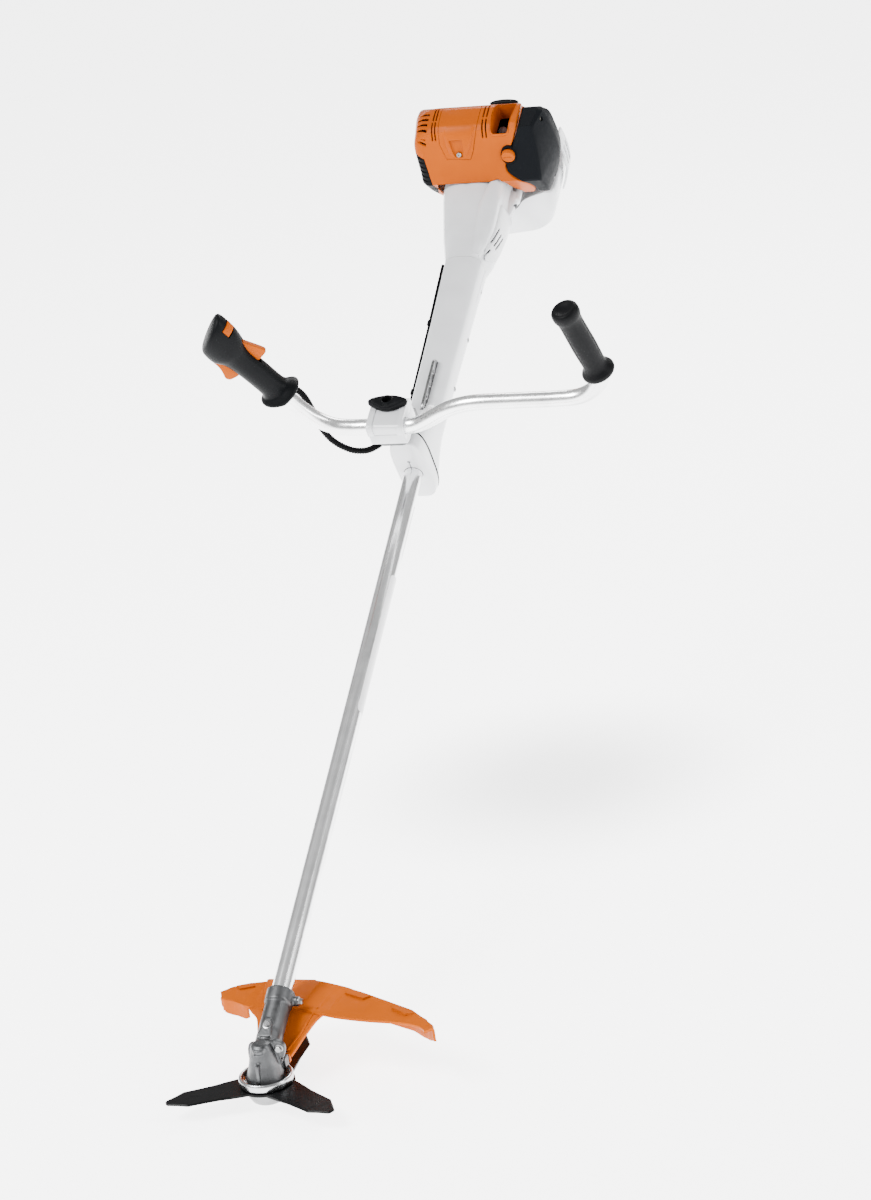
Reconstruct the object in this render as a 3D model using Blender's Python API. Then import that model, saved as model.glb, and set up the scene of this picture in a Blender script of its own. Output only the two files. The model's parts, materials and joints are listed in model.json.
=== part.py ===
"""Two-handle petrol brush mower (brushcutter) with a three-tooth knife, in its working posture.

The drive tube leans up from a level knife to the engine. Two empties carry the sub-parts:
- head_frame, level, at the gear centre, where the tube axis meets the upright cutter axis;
- shaft_frame, at the same point, leaned by TUBE_LEAN: its Y runs up the tube (called s below)
  and its Z stands square to the tube (called h below).
Shapes are drawn in millimetres in one of those frames. The world is in metres and its origin is
the middle hole of the carry rail, where the harness hook holds the machine up.
"""
import bpy
import bmesh
from math import atan2, cos, pi, radians, sin, sqrt, tau
from mathutils import Matrix, Vector

MM = 0.001
GAP = 0.3                      # smallest gap kept between two touching pieces

# --- driving dimensions, millimetres and degrees -------------------------------------------
TUBE_LEAN = radians(28.8)      # tube above the level knife
TUBE_R = 12.7
TUBE_BORE = 11.2
KNIFE_R = 125.0
KNIFE_TURN = radians(207.8)    # direction of the first tooth
KNIFE_Z = (-30.0, -27.0)

GEAR_TEETH = 21                # on the output shaft
PINION_TEETH = 15              # on the drive shaft
SHAFT_ANGLE = pi / 2 + TUBE_LEAN
GEAR_HEEL = 15.5               # outer radius of the big bevel gear's pitch cone

CASING_FRONT = 976.0
CASING_BACK = 1345.0
RAIL_X = 4.0                   # the carry rail stands a little to the right of the tube
RAIL_S = 1088.0                # its middle hole
RAIL_H = 32.8

BAR_S = 933.5                  # the handlebar lies in the plane s = BAR_S
BAR_H = 118.0
BAR_R = 11.0
SWIVEL_S = 957.0               # wing screw, about which the clamp swivels

SHROUD_LIP_S = 1482.0          # foremost edge of the engine shroud, at height SHROUD_LIP_H
SHROUD_LIP_H = 43.0
SHROUD_SLOPE = 0.54            # the shroud's face falls back by this much per mm above or below

CYLINDER_S = 1547.0
PISTON_R = 20.0                # cylinder bore radius
CRANK_THROW = 13.0

COLOURS = {                    # name: (red, green, blue, roughness, metallic)
    "orange": (0.90, 0.23, 0.015, 0.38, 0.0),
    "black": (0.025, 0.027, 0.030, 0.55, 0.0),
    "white": (0.82, 0.83, 0.84, 0.28, 0.0),
    "alloy": (0.78, 0.79, 0.80, 0.28, 1.0),
    "casting": (0.30, 0.31, 0.32, 0.50, 1.0),
    "steel": (0.55, 0.56, 0.57, 0.30, 1.0),
    "chrome": (0.80, 0.80, 0.81, 0.12, 1.0),
    "knife": (0.03, 0.03, 0.035, 0.40, 0.3),
    "rubber": (0.02, 0.02, 0.02, 0.80, 0.0),
    "felt": (0.72, 0.70, 0.62, 0.90, 0.0),
    "bronze": (0.45, 0.30, 0.12, 0.40, 1.0),
    "ceramic": (0.85, 0.84, 0.80, 0.25, 0.0),
}


# --- scene and frames -----------------------------------------------------------------------
def clear_scene():
    for obj in list(bpy.data.objects):
        bpy.data.objects.remove(obj, do_unlink=True)


def add_frame(name, location, rotation, parent=None):
    """An empty; its location is in millimetres, in its parent's space."""
    empty = bpy.data.objects.new(name, None)
    bpy.context.scene.collection.objects.link(empty)
    empty.location = Vector(location) * MM
    empty.rotation_euler = rotation
    empty.parent = parent
    return empty


def lean(s, h):
    """Level (y, z) of a point given along and square to the tube."""
    return s * cos(TUBE_LEAN) - h * sin(TUBE_LEAN), s * sin(TUBE_LEAN) + h * cos(TUBE_LEAN)


clear_scene()
RAIL_Y, RAIL_Z = lean(RAIL_S, RAIL_H)
HEAD = add_frame("head_frame", (-RAIL_X, -RAIL_Y, -RAIL_Z), (0, 0, 0))
SHAFT = add_frame("shaft_frame", (-RAIL_X, -RAIL_Y, -RAIL_Z), (TUBE_LEAN, 0, 0))


# --- materials and objects ------------------------------------------------------------------
def make_material(name, colour):
    red, green, blue, roughness, metallic = COLOURS[colour]
    material = bpy.data.materials.new(name + "_finish")
    material.use_nodes = True
    shader = material.node_tree.nodes["Principled BSDF"]
    shader.inputs["Base Color"].default_value = (red, green, blue, 1.0)
    shader.inputs["Roughness"].default_value = roughness
    shader.inputs["Metallic"].default_value = metallic
    material.diffuse_color = (red, green, blue, 1.0)
    return material


def to_mesh(name, bm, origin, sharp):
    """Close, orient and scale a bmesh drawn in millimetres, with its origin moved to a point."""
    bmesh.ops.translate(bm, verts=bm.verts, vec=-Vector(origin))
    bmesh.ops.scale(bm, verts=bm.verts, vec=(MM, MM, MM))
    bmesh.ops.remove_doubles(bm, verts=bm.verts, dist=1e-7)
    bmesh.ops.recalc_face_normals(bm, faces=bm.faces)
    if bm.calc_volume(signed=True) < 0:
        bmesh.ops.reverse_faces(bm, faces=bm.faces)
    mesh = bpy.data.meshes.new(name)
    bm.to_mesh(mesh)
    bm.free()
    mesh.shade_smooth()
    mesh.set_sharp_from_angle(angle=radians(sharp))
    return mesh


def add_part(name, bm, colour, frame, origin=(0, 0, 0), sharp=32):
    """A sub-part, whose origin (in its frame, mm) is a point on its joint's axis if it moves."""
    obj = bpy.data.objects.new(name, to_mesh(name, bm, origin, sharp))
    bpy.context.scene.collection.objects.link(obj)
    obj.parent = frame
    obj.location = Vector(origin) * MM
    obj.data.materials.append(make_material(name, colour))
    return obj


def combine(target, bm, operation, frame):
    """Apply a hidden shape to a part with an exact Boolean."""
    tool_name = target.name + "_" + operation.lower() + str(len(target.modifiers))
    tool = bpy.data.objects.new(tool_name, to_mesh(tool_name, bm, (0, 0, 0), 180))
    bpy.context.scene.collection.objects.link(tool)
    tool.parent = frame
    tool.hide_render = True
    tool.display_type = "WIRE"
    modifier = target.modifiers.new(tool_name, "BOOLEAN")
    modifier.operation = operation
    modifier.solver = "EXACT"
    modifier.object = tool


def cut(target, bm, frame):
    combine(target, bm, "DIFFERENCE", frame)


def fuse(target, bm, frame):
    combine(target, bm, "UNION", frame)


# --- shape builders, all in millimetres -----------------------------------------------------
def bridge(bm, ring_a, ring_b):
    """Skin two rings of equal size, or a ring and a single pole."""
    if len(ring_a) == 1 and len(ring_b) == 1:
        return
    if len(ring_a) == 1:
        ring_a, ring_b = ring_b, ring_a
    count = len(ring_a)
    for k in range(count):
        after = (k + 1) % count
        if len(ring_b) == 1:
            bm.faces.new((ring_a[k], ring_a[after], ring_b[0]))
        else:
            bm.faces.new((ring_a[k], ring_a[after], ring_b[after], ring_b[k]))


def around(axis, centre, radius, angle, along):
    """A point at a radius and angle about an axis through centre."""
    side = radius * cos(angle)
    rise = radius * sin(angle)
    offset = {"X": (along, side, rise), "Y": (side, along, rise), "Z": (side, rise, along)}[axis]
    return Vector(centre) + Vector(offset)


def turned(profile, axis, centre=(0, 0, 0), segments=28, turn=0.0):
    """Turn (radius, along) points. A profile that never meets the axis is closed on itself."""
    bm = bmesh.new()
    rings = []
    for radius, along in profile:
        if radius == 0:
            rings.append([bm.verts.new(around(axis, centre, 0, 0, along))])
            continue
        steps = [turn + tau * k / segments for k in range(segments)]
        rings.append([bm.verts.new(around(axis, centre, radius, a, along)) for a in steps])
    for ring_a, ring_b in zip(rings, rings[1:]):
        bridge(bm, ring_a, ring_b)
    if profile[0][0] > 0:
        bridge(bm, rings[-1], rings[0])
    return bm


def rod(axis, centre, radius, low, high, segments=20):
    return turned([(0, low), (radius, low), (radius, high), (0, high)], axis, centre, segments)


def pipe(axis, centre, inner, outer, low, high, segments=28):
    profile = [(inner, low), (outer, low), (outer, high), (inner, high)]
    return turned(profile, axis, centre, segments)


def loft(rings, closed=False):
    """Skin a run of point rings. A closed run joins its last ring to its first."""
    bm = bmesh.new()
    made = [[bm.verts.new(point) for point in ring] for ring in rings]
    for ring_a, ring_b in zip(made, made[1:]):
        bridge(bm, ring_a, ring_b)
    if closed:
        bridge(bm, made[-1], made[0])
    else:
        bm.faces.new(made[0])
        bm.faces.new(made[-1])
    return bm


def prism(outline, axis, low, high):
    """Extrude an outline. Its pairs are (s, h) for axis X, (x, h) for Y and (x, s) for Z."""
    def point(pair, along):
        a, b = pair
        return {"X": (along, a, b), "Y": (a, along, b), "Z": (a, b, along)}[axis]
    return loft([[point(pair, low) for pair in outline], [point(pair, high) for pair in outline]])


def box(x_range, s_range, h_range):
    (x0, x1), (s0, s1) = x_range, s_range
    return prism([(x0, s0), (x1, s0), (x1, s1), (x0, s1)], "Z", *h_range)


def rounded(corners, steps=4):
    """Round a polygon given as (a, b, radius) corners, each by an arc-like quadratic curve."""
    outline = []
    count = len(corners)
    for k, (a, b, radius) in enumerate(corners):
        corner = Vector((a, b))
        if radius == 0:
            outline.append((a, b))
            continue
        before = Vector(corners[k - 1][:2]) - corner
        after = Vector(corners[(k + 1) % count][:2]) - corner
        reach = min(radius, 0.48 * before.length, 0.48 * after.length)
        before = before.normalized() * reach
        after = after.normalized() * reach
        for i in range(steps + 1):
            t = i / steps
            bend = before * (1 - t) ** 2 + after * t ** 2
            outline.append(tuple(corner + bend))
    return outline


def superellipse(x_range, h_range, power=3.2, count=28):
    """A rounded-square outline that fills a box."""
    (x0, x1), (h0, h1) = x_range, h_range
    half_w, half_h = (x1 - x0) / 2, (h1 - h0) / 2
    points = []
    for k in range(count):
        angle = tau * (k + 0.5) / count
        c, s = cos(angle), sin(angle)
        stretch = (abs(c) ** power + abs(s) ** power) ** (-1 / power)
        points.append(((x0 + x1) / 2 + half_w * c * stretch, (h0 + h1) / 2 + half_h * s * stretch))
    return points


def smooth_route(points, step):
    """A Catmull-Rom curve through hand-set points, read at an even step."""
    nodes = [Vector(p) for p in points]
    nodes = [nodes[0] * 2 - nodes[1]] + nodes + [nodes[-1] * 2 - nodes[-2]]
    dense = []
    for a, b, c, d in zip(nodes, nodes[1:], nodes[2:], nodes[3:]):
        for i in range(16):
            t = i / 16
            curve = b * 2 + (c - a) * t + (a * 2 - b * 5 + c * 4 - d) * t ** 2
            dense.append((curve + (b * 3 - a - c * 3 + d) * t ** 3) / 2)
    dense.append(nodes[-2])
    lengths = [0.0]
    for a, b in zip(dense, dense[1:]):
        lengths.append(lengths[-1] + (b - a).length)
    count = max(2, round(lengths[-1] / step))
    route = []
    k = 0
    for i in range(count + 1):
        target = lengths[-1] * i / count
        while k < len(dense) - 2 and lengths[k + 1] < target:
            k += 1
        share = (target - lengths[k]) / (lengths[k + 1] - lengths[k])
        route.append(dense[k].lerp(dense[k + 1], min(share, 1.0)))
    return route


def swept(route, radius, bore=0.0, segments=12):
    """A round tube along a route, with a ring carried from point to point without twist."""
    ways = []
    for k in range(len(route)):
        ahead = route[min(k + 1, len(route) - 1)]
        ways.append((ahead - route[max(k - 1, 0)]).normalized())
    side = ways[0].orthogonal().normalized()

    def ring_at(centre, way, side, size):
        rise = way.cross(side)
        steps = [tau * k / segments for k in range(segments)]
        return [centre + side * cos(a) * size + rise * sin(a) * size for a in steps]

    outer, inner = [], []
    for centre, way in zip(route, ways):
        side = (side - way * side.dot(way)).normalized()
        outer.append(ring_at(centre, way, side, radius))
        inner.append(ring_at(centre, way, side, bore))
    if bore == 0:
        return loft(outer)
    return loft(outer + inner[::-1], closed=True)


def merge(*shapes):
    """Several separate closed shapes as one cutter."""
    whole = bmesh.new()
    for bm in shapes:
        mesh = bpy.data.meshes.new("shape")
        bm.to_mesh(mesh)
        bm.free()
        whole.from_mesh(mesh)
        bpy.data.meshes.remove(mesh)
    return whole


# --- gear head ------------------------------------------------------------------------------
BEARING_R = 17.5               # output bearing
NECK_BORE = TUBE_R + GAP
NECK_END = 100.0               # the drive tube comes out of the neck's collar here
CLAMP_BOLT = (0, NECK_END - 9.5, -4)
PLUG_S = 42.0
GUARD_BOLT = (15, 0, -8.5)
SPINDLE_R = 7.2
THREAD_R = 5.0
RIDER_FACE = 49.5              # the rider plate's flat underside, below the gear centre


def gear_housing():
    """A bell over the bevel gears, cast in one with the neck that takes the drive tube."""
    bell = [(0, 27), (9, 26.4), (12.4, 24.5), (13.8, 20), (15.6, 12), (18.2, 0), (21.4, -11),
            (24.5, -20), (24.5, -21.4), (0, -21.4)]
    housing = add_part("gear_housing", turned(bell, "Z", segments=24), "casting", HEAD)
    neck = [(0, 2), (15.6, 2), (16.2, 30), (16.2, NECK_END - 18), (17.8, NECK_END - 17), (17.8, NECK_END),
            (0, NECK_END)]
    fuse(housing, turned(neck, "Y", segments=24, turn=0.05), SHAFT)
    fuse(housing, box((-16, 24), (12, 24.5), (-14.5, -1)), HEAD)
    fuse(housing, rod("X", CLAMP_BOLT, 5.6, 13.5, 24, 16), SHAFT)
    ear = [(8, 23), (17, 28), (26, 24), (29, 15), (24, 2), (18, -9), (8, -9)]
    fuse(housing, prism(ear, "Y", 3, 10), HEAD)
    fuse(housing, prism([(-8, 24), (-17, 23), (-20, 14), (-20, -4), (-8, -4)], "Y", 3.5, 8), HEAD)
    fuse(housing, prism([(-2.6, -25.6), (2.6, -25.6), (2.6, -13), (-2.6, -13)], "Z", -20, 4), HEAD)
    seat = BEARING_R + 2 * GAP
    chamber = [(0, 20), (8, 19), (12, 8), (17, -2), (17, -10.7), (seat, -10.7), (seat, -25), (0, -25)]
    cut(housing, turned(chamber, "Z", segments=24, turn=0.03), HEAD)
    cut(housing, rod("Y", (0, 0, 0), NECK_BORE, 5, 130, 24), SHAFT)
    cut(housing, rod("Y", GUARD_BOLT, 2.5, 20.5, 30, 12), HEAD)
    cut(housing, merge(rod("Z", (0, PLUG_S, 0), 3.5, 9, 30, 14), rod("X", CLAMP_BOLT, 2.7, 18.2, 40, 12)),
        SHAFT)


def gear_head_fasteners():
    plug = [(0, 13.2), (3.1, 13.2), (3.1, 16.6), (4.6, 16.6), (4.6, 18.2), (0, 18.2)]
    add_part("grease_plug", turned(plug, "Z", (0, PLUG_S, 0), 14), "steel", SHAFT)
    screw = [(0, 18.6), (2.2, 18.6), (2.2, 24.4), (4.2, 24.4), (4.2, 28.4), (2.2, 28.4), (2.2, 26.4),
             (0, 26.4)]
    add_part("neck_clamp_screw", turned(screw, "X", CLAMP_BOLT, 14), "steel", SHAFT)
    screw = [(0, 21), (2.0, 21), (2.0, 30.4), (4.2, 30.4), (4.2, 34.5), (2.2, 34.5), (2.2, 32.4), (0, 32.4)]
    add_part("guard_screw", turned(screw, "Y", GUARD_BOLT, 14), "steel", HEAD)


def bevel_wheel(teeth, cone, heel, face, depth, back, bore, axis_sign):
    """A straight-toothed bevel gear with its apex at the frame's origin and its axis along Z.

    The tooth lands stop just under the pitch cone, so the two gears never touch. back is a
    list of (radius, along) points from the heel round to the bore."""
    clear = 0.15
    rings = []
    for distance in (heel / sin(cone) - face, heel / sin(cone)):
        for_land = distance * sin(cone), distance * cos(cone)
        ring = []
        for tooth in range(teeth):
            for k, lift in ((0.0, 0), (0.18, 1), (0.5, 1), (0.68, 0)):
                angle = tau * (tooth + k) / teeth
                drop = clear if lift else clear + depth * distance * sin(cone) / heel
                radius = for_land[0] - drop * cos(cone)
                along = for_land[1] + drop * sin(cone)
                ring.append(around("Z", (0, 0, 0), radius, angle, axis_sign * along))
        rings.append(ring)
    steps = [tau * (tooth + k) / teeth for tooth in range(teeth) for k in (0.0, 0.18, 0.5, 0.68)]
    for radius, along in back:
        rings.append([around("Z", (0, 0, 0), radius, a, axis_sign * along) for a in steps])
    toe_along = (heel / sin(cone) - face) * cos(cone) + depth
    for along in (back[-1][1], toe_along):
        rings.append([around("Z", (0, 0, 0), bore, a, axis_sign * along) for a in steps])
    return loft(rings, closed=True)


def gears():
    ratio = GEAR_TEETH / PINION_TEETH
    pinion_cone = atan2(sin(SHAFT_ANGLE), ratio + cos(SHAFT_ANGLE))
    gear_cone = SHAFT_ANGLE - pinion_cone
    gear_back = [(12.0, 9.9)]
    wheel = bevel_wheel(GEAR_TEETH, gear_cone, GEAR_HEEL, 5.0, 1.5, gear_back, 6.3, -1)
    add_part("output_gear", wheel, "steel", HEAD)
    pinion_heel = GEAR_HEEL / sin(gear_cone) * sin(pinion_cone)
    pinion_back = [(9.3, 14.0), (5.0, 20.5), (5.0, 40.0)]
    pinion = bevel_wheel(PINION_TEETH, pinion_cone, pinion_heel, 4.6, 1.4, pinion_back, 3.4, 1)
    bmesh.ops.rotate(pinion, verts=pinion.verts, cent=(0, 0, 0), matrix=Matrix.Rotation(-pi / 2, 3, "X"))
    add_part("pinion_gear", pinion, "steel", SHAFT)


def bearings():
    for name, frame, axis, inner, outer, low, high in (
            ("output_bearing", HEAD, "Z", SPINDLE_R + GAP, BEARING_R, -20.0, -11.0),
            ("pinion_bearing", SHAFT, "Y", 5.0 + GAP, TUBE_R - 0.2, 22.0, 31.0)):
        groove = (outer - inner) * 0.28
        profile = [(inner, low), (inner + groove, low), (inner + groove, low + 0.8),
                   (outer - groove, low + 0.8), (outer - groove, low), (outer, low), (outer, high),
                   (outer - groove, high), (outer - groove, high - 0.8),
                   (inner + groove, high - 0.8), (inner + groove, high), (inner, high)]
        add_part(name, turned(profile, axis, segments=18), "steel", frame)


# --- cutter ---------------------------------------------------------------------------------
def output_shaft():
    profile = [(0, -4.5), (6, -4.5), (6, -10.7), (SPINDLE_R, -10.7), (SPINDLE_R, -30.0),
               (THREAD_R, -30.0), (THREAD_R, -50.0), (4.0, -51.0), (0, -51.0)]
    add_part("output_shaft", turned(profile, "Z", segments=20), "steel", HEAD)


def thrust_plate():
    """Dished plate that drives the knife and keeps grass off the bearing."""
    profile = [(7.5, -21.9), (12, -21.9), (28.2, -23.4), (28.8, -16.8), (30.5, -15.6),
               (32.6, -15.8), (33.6, -17.5), (33.6, -24.0), (31.0, -26.7), (12.4, -26.7),
               (12.4, -29.7), (7.5, -29.7)]
    add_part("thrust_plate", turned(profile, "Z", segments=24), "chrome", HEAD)


def brush_knife():
    """Three pointed teeth around a hub, with one edge ground on each side of a tooth."""
    outline = []
    flank = [(36, 27), (48, 21.8), (62, 19.8), (100, 18.6), (KNIFE_R - 0.6, 4.4)]
    root = atan2(27, 36)
    for tooth in range(3):
        way = KNIFE_TURN + tau * tooth / 3
        for along, side in [(a, -b) for a, b in flank] + flank[::-1]:
            outline.append((along * cos(way) - side * sin(way), along * sin(way) + side * cos(way)))
        for k in (1, 2, 3):
            angle = way + root + (tau / 3 - 2 * root) * k / 4
            outline.append((43 * cos(angle), 43 * sin(angle)))
    knife = add_part("brush_knife", prism(outline, "Z", *KNIFE_Z), "knife", HEAD)
    cut(knife, rod("Z", (0, 0, 0), 12.8, -35, -20, 24), HEAD)


def knife_fasteners():
    rider = [(THREAD_R + GAP, -30.3), (25, -30.3), (26, -32), (25, -40), (21, -47.5),
             (18, -RIDER_FACE), (12.6, -RIDER_FACE), (12.6, -37.5), (THREAD_R + GAP, -37.5)]
    add_part("rider_plate", turned(rider, "Z", segments=20), "casting", HEAD)
    nut = add_part("blade_nut", turned([(0, -37.9), (9.8, -37.9), (9.8, -48.0), (0, -48.0)], "Z", segments=6),
                   "steel", HEAD)
    cut(nut, rod("Z", (0, 0, 0), THREAD_R + 1.5 * GAP, -60, -30, 16), HEAD)


# --- guard ----------------------------------------------------------------------------------
def guard():
    """Fan-shaped deflector behind the knife: a level top with a skirt along its outer edge."""
    stations = [                # outer edge (x, y), inner edge (x, y, drop), bottom of the skirt
        ((-96, 124), (-89, 107), 0, 4), ((-84, 137), (-78, 104), 0, 0), ((-66, 147), (-63, 98), 1, -1),
        ((-45, 153), (-49, 90), 1, -2), ((-17, 157), (-20, 87), 2, -2), ((20, 158), (15, 87), 2, -2),
        ((50, 148), (45, 80), 3, -2), ((77, 135), (76, 72), 4, -2), ((126, 109), (116, 65), 4, -1),
        ((168, 85), (158, 61), 4, 1), ((198, 57), (187, 50), 3, 4), ((216, 27), (206, 28), 1, 8)]
    top, thick = 30.0, 3.0
    rings = []
    for outer, inner, drop, low in stations:
        outer, inner = Vector(outer), Vector(inner)
        inward = (inner - outer).normalized() * thick
        wall = outer + inward
        ring = [(*outer, top - 1), (*outer, low), (*wall, low), (*wall, top - thick),
                (*inner, top - drop - thick), (*inner, top - drop), (*(outer + inward * 0.4), top)]
        rings.append(ring)
    shield = add_part("guard", loft(rings), "orange", HEAD)
    web = [                     # (half width left, half width right, y, z of the top surface)
        (-49, 62, 97, 27.6), (-46, 58, 88, 26.6), (-33, 46, 76, 20), (-27, 36, 58, 9.2), (-21, 29, 40, 0),
        (-17, 25, 28.4, -5.0)]
    panel = []
    for left, right, y, z in web:
        panel.append([(left, y, z), (right, y, z), (right, y + 1.5, z - 3), (left, y + 1.5, z - 3)])
    fuse(shield, loft(panel), HEAD)
    fuse(shield, box((-16, 24), (24.9, 30), (-14, -3.5)), HEAD)
    cut(shield, rod("Y", GUARD_BOLT, 2.5, 20, 40, 12), HEAD)
    cut(shield, rod("Y", GUARD_BOLT, 5.6, 30.1, 70, 14), HEAD)
    cut(shield, rod("Y", (0, 0, 0), 18.8, 5, 130, 20), SHAFT)


# --- drive tube and shaft casing ------------------------------------------------------------
TUBE_END = 1478.0


def drive_tube():
    add_part("drive_tube", pipe("Y", (0, 0, 0), TUBE_BORE, TUBE_R, 62, TUBE_END, 24), "alloy", SHAFT)
    bush = [(4.2, 700), (10.8, 700), (10.8, 740), (4.2, 740)]
    add_part("shaft_bush", turned(bush, "Y", segments=24), "bronze", SHAFT)
    add_part("drive_shaft", rod("Y", (0, 0, 0), 3.1, 14, 1496, 12), "steel", SHAFT)


def casing_rings(inset, power=3.0):
    """Outlines of the moulded casing round the tube, deep at its nose and slim behind."""
    sections = [(CASING_FRONT, 24, -57, 62), (985, 24, -54, 60), (1004, 24.3, -43, 53),
                (1030, 24.5, -33, 41), (1056, 24.7, -28, 29.5), (1080, 25, -26, 28), (1200, 26.2, -27, 27),
                (CASING_BACK, 29, -30, 29)]
    rings = []
    for s, half, low, high in sections:
        outline = superellipse((-half + inset, half - inset), (low + inset, high - inset), power, 20)
        rings.append([(x, s, h) for x, h in outline])
    return rings


SLEEVE_MOUTH = (987.0, 37.0)   # (s, h) where the cable sleeve enters the casing's side


def shaft_casing():
    shell = loft(casing_rings(0) + casing_rings(2.4)[::-1], closed=True)
    casing = add_part("shaft_casing", shell, "white", SHAFT, sharp=40)
    cut(casing, box((-11.6, 11.6), (982.4, 1009.6), (40, 75)), SHAFT)
    cut(casing, box((RAIL_X - 2.4, RAIL_X + 2.4), (RAIL_S - 50.4, RAIL_S + 50.4), (21, 50)), SHAFT)
    cut(casing, rod("X", (0, *SLEEVE_MOUTH), 5.4, -30, -15, 14), SHAFT)
    nose_rings = []
    for s, grow, front_tilt in ((953.5, -2.5, 1), (957, 0, 1), (966, 0.2, 0.6), (CASING_FRONT - GAP, 0, 0)):
        outline = superellipse((-24 - grow, 24 + grow), (-57 - grow, 62 + grow), 3.4, 20)
        nose_rings.append([(x, s + front_tilt * 5 * (5 - h) / 60, h + 3 * front_tilt) for x, h in outline])
    nose = add_part("casing_nose", loft(nose_rings), "white", SHAFT, sharp=40)
    hollow = superellipse((-21.5, 21.5), (-54, 60), 3.4, 20)
    cut(nose, prism(hollow, "Y", 966, CASING_FRONT + 5), SHAFT)
    cut(nose, rod("Y", (0, 0, 0), NECK_BORE + GAP, 930, 990, 24), SHAFT)


def carry_rail():
    """Upright strip with a row of holes for the harness hook, standing out of the casing."""
    half = 2.0
    top = RAIL_H + 6.2
    side = [(RAIL_S - 50, 21.5, 0), (RAIL_S - 50, top - 6, 4), (RAIL_S - 43, top, 4),
            (RAIL_S + 43, top, 4), (RAIL_S + 50, top - 6, 4), (RAIL_S + 50, 21.5, 0)]
    rail = add_part("carry_rail", prism(rounded(side, 3), "X", RAIL_X - half, RAIL_X + half), "steel", SHAFT)
    holes = [rod("X", (RAIL_X, RAIL_S + k * 24, RAIL_H), 3.6, -5, 5, 16) for k in (-1, 0, 1)]
    cut(rail, merge(*holes), SHAFT)


def handle_support():
    """Bracket clamped to the tube inside the casing, with a flat seat for the bar clamp."""
    ring = pipe("Y", (0, 0, 0), NECK_BORE, 18.5, 983, 1009, 20)
    support = add_part("handle_support", ring, "casting", SHAFT)
    column = [(983.3, 15.5), (1008.7, 15.5), (1008.7, 72), (992, 86), (974, 93.6), (926, 93.6), (926, 87.2),
              (964, 84), (983.3, 70)]
    fuse(support, prism(column, "X", -11, 11), SHAFT)
    seat = rounded([(-19, 926, 6), (19, 926, 6), (19, 974, 6), (-19, 974, 6)], 3)
    fuse(support, prism(seat, "Z", 87.2, 93.6), SHAFT)
    cut(support, rod("Z", (0, SWIVEL_S, 0), 4.4, 70, 100, 16), SHAFT)


# --- handlebar clamp ------------------------------------------------------------------------
def clamp_half(name, outline):
    pivot = (0, SWIVEL_S, BAR_H)
    half = add_part(name, prism(outline, "X", -25, 25), "white", SHAFT, pivot)
    cut(half, rod("X", (0, BAR_S, BAR_H), BAR_R + 2.5 * GAP, -40, 40, 20), SHAFT)
    cut(half, rod("Z", (0, SWIVEL_S, 0), 4.4, 60, 160, 16), SHAFT)


def bar_clamp():
    lower = rounded([(917, 98, 14), (930, 94, 3), (973, 94, 3), (973, 117.7, 0), (917, 117.7, 0)], 3)
    clamp_half("clamp_lower", lower)
    upper = rounded([(917, 118.3, 0), (973, 118.3, 0), (973, 128, 5), (964, 132.5, 4), (936, 134.5, 12),
                     (917, 133, 13)], 4)
    clamp_half("clamp_upper", upper)


def wing_screw():
    """Hand screw that locks the clamp; its wings lie across the clamp."""
    stem = [(0, 86.4), (4.0, 86.4), (4.0, 137.5), (0, 137.5)]
    stem = turned(stem, "Z", (0, SWIVEL_S, 0), 16)
    screw = add_part("wing_screw", stem, "black", SHAFT, (0, SWIVEL_S, BAR_H))
    wings = rounded([(-28, 952, 3), (-12, 946.5, 6), (0, 948, 4), (12, 946.5, 6), (28, 952, 3), (28, 962, 3),
                     (12, 967.5, 6), (0, 966, 4), (-12, 967.5, 6), (-28, 962, 3)], 2)
    top = rounded([(x * 0.93, SWIVEL_S + (s - SWIVEL_S) * 0.85, 0) for x, s in wings])
    layers = ((top, 134.9), (wings, 137), (wings, 140.5), (top, 143))
    rings = [[(x, s, h) for x, s in outline] for outline, h in layers]
    fuse(screw, loft(rings), SHAFT)


# --- handlebar and grips --------------------------------------------------------------------
LEFT_BASE = (-128.0, 186.0)    # (x, h) where the control grip starts
RIGHT_BASE = (314.0, 205.0)
CONTROL_LEAN = atan2(57.9, 105.1)
CONTROL_ROLL = radians(18)     # the trigger faces this far round from the bar's plane
PLAIN_LEAN = atan2(21, 117)
BAR_PIVOT = (0, BAR_S, BAR_H)


def handlebar():
    def from_base(base, lean_angle, along):
        return base[0] - sin(lean_angle) * along, base[1] + cos(lean_angle) * along
    bends = [from_base(LEFT_BASE, CONTROL_LEAN, 56), from_base(LEFT_BASE, CONTROL_LEAN, 25), LEFT_BASE,
             (-114, 160), (-97, 137), (-76, 122.5), (-52, 118.4), (-32, 118), (0, 118), (31, 118),
             (46, 121.5), (64, 131), (87, 144.5), (112, 154), (140, 158), (190, 158.5), (245, 159),
             (276, 162), (298, 174), (312, 192),
             RIGHT_BASE, from_base(RIGHT_BASE, PLAIN_LEAN, 40), from_base(RIGHT_BASE, PLAIN_LEAN, 78)]
    route = smooth_route([(x, BAR_S, h) for x, h in bends], 24)
    add_part("handlebar", swept(route, BAR_R, 9.3, 10), "alloy", SHAFT, BAR_PIVOT)


def grip_frame(name, base, lean_angle, roll):
    """A frame at a grip's base: Z runs along the grip, Y up the tube."""
    frame = add_frame(name, (base[0], BAR_S, base[1]), (0, -lean_angle, 0), SHAFT)
    return add_frame(name + "_roll", (0, 0, 0), (0, 0, roll), frame)


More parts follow.
